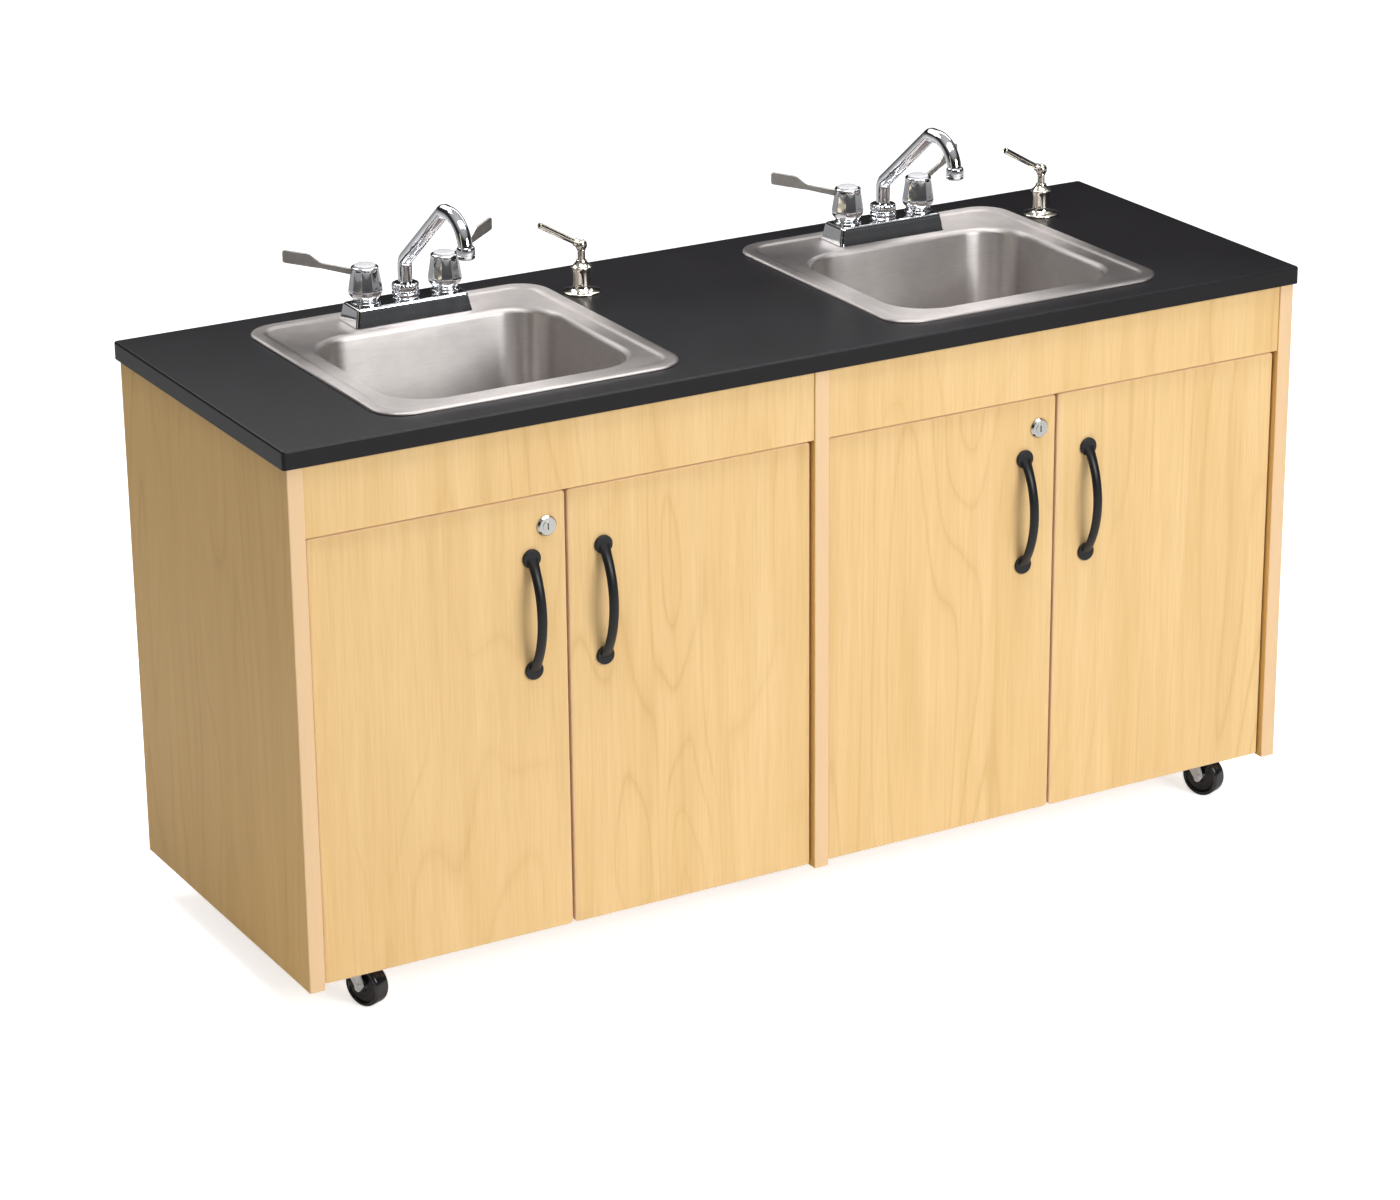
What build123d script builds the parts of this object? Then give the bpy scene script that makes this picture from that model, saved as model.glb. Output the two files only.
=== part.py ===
"""Portable handwash sink: a rolling cabinet with two drop-in bowls, faucets and soap pumps.

Millimetres.  X runs to the right along the counter, Y from the doors to the back, Z up from the
floor.  The origin is on the floor, under the middle of the outer box.
"""
import os
from math import cos, radians, sin

from build123d import *

# ---------------------------------------------------------------- driving dimensions
# cabinet
COUNTER_WIDTH = 1334
COUNTER_FRONT = -223
COUNTER_BACK = 241
COUNTER_TOP = 686
COUNTER_THICK = 21
BOARD = 19
SIDE_OUTER = 662
PANEL_FRONT = -220
PANEL_BACK = 235
PANEL_FOOT = 52
BACK_THICK = 12
BOTTOM_UNDERSIDE = 65
BOTTOM_FRONT = -185
APRON_HEIGHT = 82
APRON_FRONT = -217.5
RAIL_DEPTH = 33

# doors
DOOR_FACE = -213
DOOR_LOW = 55
DOOR_HIGH = 580
DOOR_SIDE_GAP = 2.5
DOOR_MIDDLE_GAP = 3
DOOR_CORNER = 4
DOOR_EDGE = 2.5

# concealed hinges, measured from the door's hinge edge and front face
HINGE_HEIGHTS = (145, 490)
PIVOT_INSET = 14
PIVOT_DEPTH = 9
CUP_CENTRE_INSET = 22.5
CUP_RADIUS = 17.5
CUP_DEPTH = 13.7
CUP_WALL = 1
ARM_HALF_HEIGHT = 6
ARM_LEAF = 2.5
KNUCKLE_RADIUS = 2.5
PIN_RADIUS = 1.25
PLATE_Y = (-182, -146)
PLATE_THICK = 2
PLATE_HALF_HEIGHT = 24
PLATE_SCREW_Y = -164
PLATE_SCREW_Z = 17

# pulls and locks
PULL_FROM_GAP = 45
PULL_LOW = 376
PULL_HIGH = 508
PULL_DISC_RADIUS = 11
PULL_DISC_THICK = 4
PULL_BAR_WIDTH = 12
PULL_BAR_THICK = 8
PULL_REACH = 24
LOCK_FROM_GAP = 25
LOCK_HEIGHT = 543
LOCK_FACE_RADIUS = 12
LOCK_BARREL_RADIUS = 9.5
LOCK_PLUG_RADIUS = 6
LOCK_FACE_PROUD = 4
CAM_LENGTH = 48

# sinks
SINK_CENTRES = (-338, 314)
SINK_Y = 9
SINK_SIZE = 381
SINK_CORNER = 40
SINK_CUTOUT = 358
RIM_RISE = 3.5
RIM_BAND = 20
DECK_RISE = 1.6
BOWL_WIDTH = 300
BOWL_LENGTH = 258
BOWL_Y = -14.5
BOWL_CORNER = 55
BOWL_DEPTH = 150
BOWL_TAPER = 3
BOWL_BOTTOM_RADIUS = 28
SHEET = 1.5
DRAIN_RADIUS = 26

# faucets
FAUCET_Y = 153
FAUCET_BODY = (150, 50, 22)
FAUCET_TAPER = 11
HUB_SPACING = 51
SHANK_RADIUS = 10
HUB_HEIGHT = 40.5
HUB_FLUTES = 10
SPOUT_RADIUS = 8.5
SPOUT_WALL = 1.4
SPOUT_BEND_HEIGHT = 66
SPOUT_PEAK_HEIGHT = 150
SPOUT_PEAK_REACH = 107
SPOUT_REACH = 160
SPOUT_BENDS = (14, 12, 38)
OUTLET_HEIGHT = 107
AERATOR_RADIUS = 10.6
NUT_RADIUS = 16.4
STEM_RADIUS = 6
BLADE_SWEEP = 27
BLADE_THICK = 3.2

# soap pumps
PUMP_FROM_SINK = 220.5
PUMP_Y = 133
PUMP_SHANK_RADIUS = 11.5
PUMP_STEM_RADIUS = 4.7
PUMP_STEM_TOP = 50.6
PUMP_TIP_RADIUS = 3
PUMP_HEAD_HEIGHT = 57.5
PUMP_HEAD_RADIUS = 7.2
NOZZLE_LENGTH = 64
NOZZLE_RADIUS = 3.8
NOZZLE_RISE = 30

# casters
CASTER_X = 580
CASTER_Y = 160
CASTER_TRAIL = 18
CASTER_TURN = -68
WHEEL_RADIUS = 25
WHEEL_WIDTH = 21
AXLE_RADIUS = 3
KINGPIN_RADIUS = 5
CASTER_PLATE = (62, 44, 2.5)
CASTER_SCREW = (23, 14)

# tanks and plumbing
TANK_SIZE = (195, 340, 320)
TANK_Y = 20
TANK_WALL = 3
FRESH_TANK_X = (-128, 128)
WASTE_TANK_X = (-332, 330)
NECK_RADIUS = 24
FRESH_NECK_Y = 100
HEATER_X = (-636, -444)
HEATER_Y = (6, 212)
HEATER_HEIGHT = 290
PUMP_BASE_X = (470, 600)
LINE_RADIUS = 6
BRANCH_RADIUS = 5
LINE_Y = 176
COLD_LINE_HEIGHT = 540
HOT_LINE_HEIGHT = 602
SUCTION_LINE_HEIGHT = 470
INLET_X = 560
INLET_Z = 150

RUNNING_CLEARANCE = 0.05
LOOSE_CLEARANCE = 0.4

# ---------------------------------------------------------------- derived places
SIDE_INNER = SIDE_OUTER - BOARD
DIVIDER_HALF = BOARD / 2
CARCASS_TOP = COUNTER_TOP - COUNTER_THICK
BACK_FACE = PANEL_BACK - BACK_THICK
FLOOR_TOP = BOTTOM_UNDERSIDE + BOARD
DOOR_REAR = DOOR_FACE + BOARD
PIVOT_Y = DOOR_FACE + PIVOT_DEPTH
APRON_BACK = APRON_FRONT + BOARD
BAY_CENTRE = (SIDE_INNER + DIVIDER_HALF) / 2
BOWL_FLOOR = COUNTER_TOP - BOWL_DEPTH
TANK_TOP = FLOOR_TOP + TANK_SIZE[2]
CAP_TOP = TANK_TOP + 24
DECK = COUNTER_TOP + DECK_RISE
BAYS = {"left": (-SIDE_INNER, -DIVIDER_HALF), "right": (DIVIDER_HALF, SIDE_INNER)}

# hinge edge (X), opening side of each door: +1 when the door reaches to +X from its hinge
DOORS = {
    "door_1": (-SIDE_INNER + DOOR_SIDE_GAP, 1),
    "door_2": (-DIVIDER_HALF - DOOR_SIDE_GAP, -1),
    "door_3": (DIVIDER_HALF + DOOR_SIDE_GAP, 1),
    "door_4": (SIDE_INNER - DOOR_SIDE_GAP, -1),
}
LOCKED_DOORS = {"door_1": "left", "door_3": "right"}
DOOR_WIDTH = BAY_CENTRE - DIVIDER_HALF - DOOR_SIDE_GAP - DOOR_MIDDLE_GAP / 2
CASTERS = {
    "front_left": (-CASTER_X, -CASTER_Y),
    "front_right": (CASTER_X, -CASTER_Y),
    "back_left": (-CASTER_X, CASTER_Y),
    "back_right": (CASTER_X, CASTER_Y),
}
SINKS = {"left": SINK_CENTRES[0], "right": SINK_CENTRES[1]}


# ---------------------------------------------------------------- helpers
def block(x, y, z):
    """Upright block between two X, two Y and two Z values."""
    size = Box(x[1] - x[0], y[1] - y[0], z[1] - z[0], align=(Align.MIN, Align.MIN, Align.MIN))
    return Pos(x[0], y[0], z[0]) * size


def rod(start, end, radius):
    """Round bar from one point to another."""
    line = Vector(*end) - Vector(*start)
    bar = Cylinder(radius, line.length, align=(Align.CENTER, Align.CENTER, Align.MIN))
    return Plane(origin=start, z_dir=line) * bar


def lathe(profile):
    """Body of revolution about Z from (radius, height) corners."""
    outline = Polyline(*[(radius, 0, height) for radius, height in profile], close=True)
    return revolve(make_face(outline), Axis.Z)


def lathe_forward(profile):
    """Body of revolution about Y from (radius, Y) corners."""
    outline = Polyline(*[(radius, y, 0) for radius, y in profile], close=True)
    return revolve(make_face(outline), Axis.Y)


def pipe(points, bends, radius, bore=0):
    """Tube along straight runs joined by tangent arcs."""
    route = FilletPolyline(*points, radius=bends)
    section = Circle(radius)
    if bore:
        section -= Circle(bore)
    return sweep(Plane(origin=route @ 0, z_dir=route % 0) * section, path=route)


def rounded_slab(width, length, corner, low, high, taper=0):
    """Slab with rounded corners between two heights; a taper narrows it downwards."""
    outline = Pos(0, 0, high) * RectangleRounded(width, length, corner)
    return extrude(outline, amount=high - low, dir=(0, 0, -1), taper=taper)


def write(node, *solids):
    """Write one node's solids to its own file."""
    shape = solids[0] if len(solids) == 1 else Compound(children=list(solids))
    export_step(shape, f"parts/{node}.step")


# ---------------------------------------------------------------- cabinet
def hinge_screw_places():
    """(X of the board face, direction into the board, Z) of each hinge plate."""
    for edge, reach in DOORS.values():
        face = edge - reach * DOOR_SIDE_GAP
        for height in HINGE_HEIGHTS:
            yield face, -reach, height


def screw(seat, direction, head_radius=3.6, head=1.8, shank_radius=1.8, shank=8.5):
    """Pan-head screw whose head rests on the seat point and whose shank runs along direction."""
    seat = Vector(*seat)
    along = Vector(*direction)
    top = rod(tuple(seat), tuple(seat - along * head), head_radius)
    body = rod(tuple(seat), tuple(seat + along * shank), shank_radius)
    return top + body


def hinge_screws():
    found = []
    for face, into, height in hinge_screw_places():
        seat_x = face - into * PLATE_THICK
        for offset in (-PLATE_SCREW_Z, PLATE_SCREW_Z):
            found.append(screw((seat_x, PLATE_SCREW_Y, height + offset), (into, 0, 0)))
    return found


def caster_screws():
    found = []
    seat_z = BOTTOM_UNDERSIDE - CASTER_PLATE[2]
    for x, y in CASTERS.values():
        for dx in (-CASTER_SCREW[0], CASTER_SCREW[0]):
            for dy in (-CASTER_SCREW[1], CASTER_SCREW[1]):
                found.append(screw((x + dx, y + dy, seat_z), (0, 0, 1), shank=14))
    return found


def drilled(board, screws):
    """A board with the holes of the screws that enter it."""
    box = board.bounding_box()
    for item in screws:
        centre = item.center()
        inside_x = box.min.X - 9 < centre.X < box.max.X + 9
        inside_y = box.min.Y - 9 < centre.Y < box.max.Y + 9
        inside_z = box.min.Z - 9 < centre.Z < box.max.Z + 9
        if inside_x and inside_y and inside_z:
            board = board - item
    return board


def countertop():
    half = COUNTER_WIDTH / 2
    slab = block((-half, half), (COUNTER_FRONT, COUNTER_BACK), (CARCASS_TOP, COUNTER_TOP))
    slab = fillet(slab.edges().filter_by(Axis.Z), 4)
    slab = fillet(slab.faces().sort_by(Axis.Z)[-1].edges(), 2.5)
    for centre in SINK_CENTRES:
        cutout = rounded_slab(SINK_CUTOUT, SINK_CUTOUT, 30, CARCASS_TOP - 1, COUNTER_TOP + 1)
        slab -= Pos(centre, SINK_Y, 0) * cutout
        slab -= rod((centre + PUMP_FROM_SINK, PUMP_Y, CARCASS_TOP - 1),
                    (centre + PUMP_FROM_SINK, PUMP_Y, COUNTER_TOP + 1), PUMP_SHANK_RADIUS)
    return slab


def side_panel(side):
    x = sorted((side * SIDE_INNER, side * SIDE_OUTER))
    panel = block(x, (PANEL_FRONT, PANEL_BACK), (PANEL_FOOT, CARCASS_TOP))
    front = panel.faces().sort_by(Axis.Y)[0].edges().filter_by(Axis.Z)
    return fillet(front, 1.5)


def center_divider():
    panel = block((-DIVIDER_HALF, DIVIDER_HALF), (PANEL_FRONT, BACK_FACE), (PANEL_FOOT, CARCASS_TOP))
    panel = fillet(panel.faces().sort_by(Axis.Y)[0].edges().filter_by(Axis.Z), 1.5)
    crossings = (
        (LINE_Y, COLD_LINE_HEIGHT),
        (LINE_Y, HOT_LINE_HEIGHT),
        (FRESH_NECK_Y, SUCTION_LINE_HEIGHT),
    )
    for y, z in crossings:
        panel -= rod((-BOARD, y, z), (BOARD, y, z), LINE_RADIUS + 1)
    return panel


def back_panel():
    panel = block((-SIDE_INNER, SIDE_INNER), (BACK_FACE, PANEL_BACK), (BOTTOM_UNDERSIDE, CARCASS_TOP))
    return panel - inlet_body()


def top_rails():
    rails = []
    for x in BAYS.values():
        for y in ((APRON_BACK, APRON_BACK + RAIL_DEPTH), (BACK_FACE - RAIL_DEPTH, BACK_FACE)):
            rails.append(block(x, y, (CARCASS_TOP - BOARD, CARCASS_TOP)))
    return rails


def write_cabinet():
    screws = hinge_screws() + caster_screws()
    write("countertop", countertop())
    write("side_panel_left", drilled(side_panel(-1), screws))
    write("side_panel_right", drilled(side_panel(1), screws))
    write("center_divider", drilled(center_divider(), screws))
    write("back_panel", back_panel())
    write("top_rails", *top_rails())
    for name, x in BAYS.items():
        bottom = block(x, (BOTTOM_FRONT, BACK_FACE), (BOTTOM_UNDERSIDE, FLOOR_TOP))
        write(f"bottom_panel_{name}", drilled(bottom, screws))
        low = CARCASS_TOP - APRON_HEIGHT
        write(f"apron_{name}", block(x, (APRON_FRONT, APRON_BACK), (low, CARCASS_TOP)))
    write("screws", *screws)


# ---------------------------------------------------------------- doors and their hinges
def hinge_slot(edge, reach, height):
    """Slot from the hinge edge into the cup, where the arm lies when the door is open."""
    inner = edge + reach * (PIVOT_INSET - 4)
    x = sorted((edge - reach, inner))
    half = ARM_HALF_HEIGHT + 1
    return block(x, (PIVOT_Y - 4.8, DOOR_REAR + 2), (height - half, height + half))


def cup_blank(edge, reach, height, radius, front):
    """Round plug on the cup's axis, from the given Y out through the door's rear face."""
    x = edge + reach * CUP_CENTRE_INSET
    return rod((x, front, height), (x, DOOR_REAR, height), radius)


def door_panel(name):
    edge, reach = DOORS[name]
    x = sorted((edge, edge + reach * DOOR_WIDTH))
    panel = block(x, (DOOR_FACE, DOOR_REAR), (DOOR_LOW, DOOR_HIGH))
    panel = fillet(panel.edges().filter_by(Axis.Y), DOOR_CORNER)
    panel = fillet(panel.faces().sort_by(Axis.Y)[0].edges(), DOOR_EDGE)
    for height in HINGE_HEIGHTS:
        panel -= cup_blank(edge, reach, height, CUP_RADIUS, DOOR_REAR - CUP_DEPTH)
        panel -= hinge_slot(edge, reach, height)
    if name in LOCKED_DOORS:
        x_lock = lock_x(name)
        panel -= rod((x_lock, DOOR_FACE - 1, LOCK_HEIGHT), (x_lock, DOOR_REAR + 1, LOCK_HEIGHT),
                     LOCK_BARREL_RADIUS)
    return panel


def hinge_cup(edge, reach, height):
    """Cup with its flange on the door's rear face and the pin across it."""
    cup_x = edge + reach * CUP_CENTRE_INSET
    pin_x = edge + reach * PIVOT_INSET
    front = DOOR_REAR - CUP_DEPTH
    cup = cup_blank(edge, reach, height, CUP_RADIUS, front)
    flange = block(sorted((edge + reach * 3, cup_x + reach * 14)), (DOOR_REAR, DOOR_REAR + 1),
                   (height - 27, height + 27))
    flange = fillet(flange.edges().filter_by(Axis.Y), 6)
    hollow_front = front + CUP_WALL - 0.2
    hollow = rod((cup_x, hollow_front, height), (cup_x, DOOR_REAR + 2, height), CUP_RADIUS - CUP_WALL)
    pin_half = 14.6
    pin = rod((pin_x, PIVOT_Y, height - pin_half), (pin_x, PIVOT_Y, height + pin_half), PIN_RADIUS)
    return (cup + flange) - hollow - hinge_slot(edge, reach, height) + pin


def hinge_arm(edge, reach, height):
    """Arm from the pin back to its plate on the cabinet board."""
    face = edge - reach * DOOR_SIDE_GAP
    pin_x = edge + reach * PIVOT_INSET
    z = (height - ARM_HALF_HEIGHT, height + ARM_HALF_HEIGHT)
    leaf_x = (pin_x - ARM_LEAF / 2, pin_x + ARM_LEAF / 2)
    body_y = (-185, -134)
    leaf = block(leaf_x, (PIVOT_Y, body_y[0] + 2), z)
    knuckle = rod((pin_x, PIVOT_Y, z[0]), (pin_x, PIVOT_Y, z[1]), KNUCKLE_RADIUS)
    bore = rod((pin_x, PIVOT_Y, z[0] - 1), (pin_x, PIVOT_Y, z[1] + 1), PIN_RADIUS + RUNNING_CLEARANCE)
    plate_face = face + reach * PLATE_THICK
    body = block(sorted((plate_face, pin_x + reach * ARM_LEAF / 2)), body_y, z)
    wall = 1.5
    channel_x = sorted((plate_face - reach, pin_x - reach * ARM_LEAF / 2))
    channel = block(channel_x, (body_y[0] + wall, body_y[1] - wall), (z[0] + wall, z[1] - wall))
    return leaf + knuckle + (body - channel) - bore


def hinge_plate(face, into, height):
    """Winged mounting plate, drilled for its two screws."""
    x = sorted((face, face - into * PLATE_THICK))
    plate = block(x, PLATE_Y, (height - PLATE_HALF_HEIGHT, height + PLATE_HALF_HEIGHT))
    return fillet(plate.edges().filter_by(Axis.X), 6)


def lock_x(name):
    edge, reach = DOORS[name]
    return edge + reach * (DOOR_WIDTH + DOOR_MIDDLE_GAP / 2 - LOCK_FROM_GAP)


def lock_housing(name):
    face = DOOR_FACE - LOCK_FACE_PROUD
    nut_back = DOOR_REAR + 3
    bore = LOCK_PLUG_RADIUS + RUNNING_CLEARANCE
    profile = (
        (bore, face), (LOCK_FACE_RADIUS - 2, face), (LOCK_FACE_RADIUS, DOOR_FACE - 1.5),
        (LOCK_FACE_RADIUS, DOOR_FACE), (LOCK_BARREL_RADIUS, DOOR_FACE), (LOCK_BARREL_RADIUS, DOOR_REAR),
        (13, DOOR_REAR), (13, nut_back), (bore, nut_back),
    )
    return Pos(lock_x(name), 0, LOCK_HEIGHT) * lathe_forward(profile)


def lock_plug(name):
    """Plug with its key slot and the cam behind the door, pointing away from the gap."""
    x = lock_x(name)
    face = DOOR_FACE - LOCK_FACE_PROUD - 0.5
    cam_y = (DOOR_REAR + 3.4, DOOR_REAR + 5.9)
    plug = rod((x, face, LOCK_HEIGHT), (x, cam_y[1], LOCK_HEIGHT), LOCK_PLUG_RADIUS)
    slot = block((x - 0.8, x + 0.8), (face - 1, face + 4), (LOCK_HEIGHT - 4, LOCK_HEIGHT + 4))
    cam = block((x - CAM_LENGTH, x), cam_y, (LOCK_HEIGHT - 8, LOCK_HEIGHT + 8))
    cam += rod((x, cam_y[0], LOCK_HEIGHT), (x, cam_y[1], LOCK_HEIGHT), 8)
    return plug + cam - slot


def pull_handle(name):
    """Arched bar between two flat discs on the door's face."""
    edge, reach = DOORS[name]
    x = edge + reach * (DOOR_WIDTH + DOOR_MIDDLE_GAP / 2 - PULL_FROM_GAP)
    discs = []
    for z in (PULL_LOW, PULL_HIGH):
        disc = rod((x, DOOR_FACE, z), (x, DOOR_FACE - PULL_DISC_THICK, z), PULL_DISC_RADIUS)
        discs.append(fillet(disc.edges().sort_by(Axis.Y)[0], 1.2))
    foot_y = DOOR_FACE - 2
    middle = ((PULL_LOW + PULL_HIGH) / 2, DOOR_FACE - PULL_REACH)
    arch = ThreePointArc((x, foot_y, PULL_LOW), (x, middle[1], middle[0]), (x, foot_y, PULL_HIGH))
    section = Plane(origin=arch @ 0, x_dir=(1, 0, 0), z_dir=arch % 0)
    bar = sweep(section * Ellipse(PULL_BAR_WIDTH / 2, PULL_BAR_THICK / 2), path=arch)
    behind = block((x - 20, x + 20), (DOOR_FACE, DOOR_FACE + 20), (PULL_LOW - 20, PULL_HIGH + 20))
    return discs[0] + discs[1] + bar - behind


def write_doors():
    arms = []
    for name, (edge, reach) in DOORS.items():
        write(name, door_panel(name))
        write(f"pull_{name[-1]}", pull_handle(name))
        write(f"hinge_cups_{name[-1]}", *[hinge_cup(edge, reach, z) for z in HINGE_HEIGHTS])
        arms += [hinge_arm(edge, reach, z) for z in HINGE_HEIGHTS]
    screws = hinge_screws()
    plates = [drilled(hinge_plate(*place), screws) for place in hinge_screw_places()]
    write("hinge_arms", *arms, *plates)
    for name, bay in LOCKED_DOORS.items():
        write(f"lock_housing_{bay}", lock_housing(name))
        write(f"lock_plug_{bay}", lock_plug(name))


# ---------------------------------------------------------------- sinks and drains
def sink(centre):
    """Pressed bowl with a raised rim band, a flat deck and holes for faucet and drain."""
    rim = rounded_slab(SINK_SIZE, SINK_SIZE, SINK_CORNER, 0, RIM_RISE)
    rim = fillet(rim.faces().sort_by(Axis.Z)[-1].edges(), 2.4)
    inner = SINK_SIZE - 2 * RIM_BAND
    recess = rounded_slab(inner, inner, SINK_CORNER - 12, DECK_RISE, RIM_RISE + 1)
    recess = chamfer(recess.faces().sort_by(Axis.Z)[0].edges(), 1)
    bowl_offset = BOWL_Y - SINK_Y
    grow = 2 * SHEET
    shell = rounded_slab(BOWL_WIDTH + grow, BOWL_LENGTH + grow, BOWL_CORNER + SHEET,
                         -BOWL_DEPTH - SHEET, 0, BOWL_TAPER)
    shell = fillet(shell.faces().sort_by(Axis.Z)[0].edges(), BOWL_BOTTOM_RADIUS + SHEET)
    hollow = rounded_slab(BOWL_WIDTH, BOWL_LENGTH, BOWL_CORNER, -BOWL_DEPTH, 0, BOWL_TAPER)
    hollow = fillet(hollow.faces().sort_by(Axis.Z)[0].edges(), BOWL_BOTTOM_RADIUS)
    mouth = rounded_slab(BOWL_WIDTH, BOWL_LENGTH, BOWL_CORNER, 0, RIM_RISE + 1)
    body = (rim - recess) + Pos(0, bowl_offset, 0) * shell
    body -= Pos(0, bowl_offset, 0) * (hollow + mouth)
    body -= rod((0, bowl_offset, -BOWL_DEPTH - 5), (0, bowl_offset, -BOWL_DEPTH + 5), DRAIN_RADIUS)
    for dx in (-HUB_SPACING, HUB_SPACING):
        body -= rod((dx, FAUCET_Y - SINK_Y, -1), (dx, FAUCET_Y - SINK_Y, DECK_RISE + 1), SHANK_RADIUS)
    return Pos(centre, SINK_Y, COUNTER_TOP) * body


def drain_strainer(centre):
    """Flanged basket with its perforated plate and the tailpiece below."""
    wall = 2.4
    outer = DRAIN_RADIUS - 0.1
    tail = 19
    profile = (
        (0, -9), (outer - wall, -9), (outer - wall, 1.5), (outer + 5, 1.5), (outer + 5, 0),
        (outer, 0), (outer, -38), (tail, -45), (tail, -82), (tail - 2, -82), (tail - 2, -44),
        (outer - wall, -37), (outer - wall, -11), (0, -11),
    )
    body = lathe(profile)
    for radius, count in ((8, 6), (16, 12)):
        for place in PolarLocations(radius, count):
            body -= place * Pos(0, 0, -10) * Cylinder(2.2, 6)
    return Pos(centre, BOWL_Y, BOWL_FLOOR) * body


def drain_hose(centre):
    """Corrugated hose from the tailpiece down into the waste tank's cap."""
    top = BOWL_FLOOR - 70
    low = TANK_TOP + 4
    inner, crest, root = 19, 23, 20.6
    ribs = 7
    pitch = (top - CAP_TOP) / (2 * ribs)
    points = [(inner - 4, low), (root, low), (root, CAP_TOP)]
    for number in range(ribs):
        start = CAP_TOP + 2 * number * pitch
        points += [(crest, start + pitch * 0.4), (crest, start + pitch), (root, start + pitch * 1.4)]
    points += [(root, top), (inner, top), (inner, top - 14), (inner - 4, top - 14)]
    return Pos(centre, BOWL_Y, 0) * lathe(points)


def write_sinks():
    for name, centre in SINKS.items():
        write(f"sink_{name}", sink(centre))
    write("drain_strainers", *[drain_strainer(centre) for centre in SINK_CENTRES])
    write("drain_hoses", *[drain_hose(centre) for centre in SINK_CENTRES])


# ---------------------------------------------------------------- faucets
def faucet_body():
    """Tapered body with two valve stems, the spout socket and threaded shanks under the deck."""
    width, depth, height = FAUCET_BODY
    base = RectangleRounded(width, depth, 4)
    body = extrude(base, amount=height, taper=FAUCET_TAPER)
    body = fillet(body.faces().sort_by(Axis.Z)[-1].edges(), 1.5)
    for dx in (-HUB_SPACING, HUB_SPACING):
        collar = lathe(((0, height), (17, height), (17, height + 2.5), (14, height + 4), (0, height + 4)))
        body += Pos(dx, 0, 0) * collar
        body += rod((dx, 0, height), (dx, 0, height + 30), STEM_RADIUS)
        body += rod((dx, 0, 1), (dx, 0, -46), SHANK_RADIUS)
    socket = SPOUT_RADIUS + RUNNING_CLEARANCE
    return body - rod((0, 0, 6), (0, 0, height + 1), socket)


def spout_nut():
    """Six-sided coupling nut over the spout's root."""
    low = FAUCET_BODY[2]
    ring_top = low + 8
    bore = rod((0, 0, low - 1), (0, 0, low + 30), SPOUT_RADIUS + LOOSE_CLEARANCE)
    ring = lathe(((0, low), (NUT_RADIUS - 1.5, low), (NUT_RADIUS, low + 2), (NUT_RADIUS, low + 6),
                  (NUT_RADIUS - 1.5, ring_top), (0, ring_top)))
    hexagon = Pos(0, 0, ring_top) * extrude(RegularPolygon(NUT_RADIUS, 6), amount=10)
    return ring + hexagon - bore


def spout():
    """Bent tube: up, forward on a slope, over the peak and down to the outlet."""
    root = 6.5
    points = (
        (0, 0, root), (0, 0, SPOUT_BEND_HEIGHT), (0, -SPOUT_PEAK_REACH, SPOUT_PEAK_HEIGHT),
        (0, -SPOUT_REACH, SPOUT_PEAK_HEIGHT), (0, -SPOUT_REACH, OUTLET_HEIGHT + 3),
    )
    return pipe(points, SPOUT_BENDS, SPOUT_RADIUS, SPOUT_RADIUS - SPOUT_WALL)


def aerator():
    low = OUTLET_HEIGHT
    top = low + 14
    profile = (
        (0, low), (AERATOR_RADIUS - 1.3, low), (AERATOR_RADIUS, low + 1.5), (AERATOR_RADIUS, top - 1.5),
        (AERATOR_RADIUS - 1, top), (SPOUT_RADIUS, top), (SPOUT_RADIUS, low + 3), (0, low + 3),
    )
    return Pos(0, -SPOUT_REACH, 0) * lathe(profile)


def faucet_handle(side):
    """Fluted hub with its wrist blade, swept back and rising to the tip; side -1 is left."""
    low = FAUCET_BODY[2] + 4.4
    hub = lathe(((0, low), (14.5, low), (16.5, low + 3), (20.2, low + 9), (19.7, low + 15), (16.2, low + 38),
                 (14.2, low + HUB_HEIGHT), (0, low + HUB_HEIGHT)))
    for place in PolarLocations(25, HUB_FLUTES):
        flute = place * Pos(0, 0, low + 24) * Cylinder(6.4, 28)
        hub -= flute
    hub -= rod((0, 0, low - 1), (0, 0, FAUCET_BODY[2] + 30.5), STEM_RADIUS + RUNNING_CLEARANCE)
    outline = Polyline((7, 0, 55), (50, 0, 65), (58, 0, 66), (92, 0, 72.5), (94, 0, 74), (94, 0, 87),
                       (92, 0, 88.5), (64, 0, 83), (50, 0, 71.5), (7, 0, 62.5), close=True)
    blade = extrude(make_face(outline), amount=BLADE_THICK / 2, both=True)
    turn = 180 - BLADE_SWEEP if side < 0 else BLADE_SWEEP
    return Pos(side * HUB_SPACING, 0, 0) * (hub + Rot(0, 0, turn) * blade)


def handle_cap(side):
    """Index cap on top of the hub."""
    low = FAUCET_BODY[2] + 4.4 + HUB_HEIGHT
    cap = lathe(((0, low), (12.6, low), (12.6, low + 1), (11.2, low + 2.2), (0, low + 2.6)))
    return Pos(side * HUB_SPACING, 0, 0) * cap


def write_faucets():
    places = {name: Pos(centre, FAUCET_Y, DECK) for name, centre in SINKS.items()}
    fixed = []
    for name, place in places.items():
        fixed += [place * faucet_body(), place * spout_nut()]
        write(f"spout_{name}", place * spout(), place * aerator())
        write(f"handle_hot_{name}", place * faucet_handle(-1), place * handle_cap(-1))
        write(f"handle_cold_{name}", place * faucet_handle(1), place * handle_cap(1))
    write("faucet_bodies", *fixed)


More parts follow.
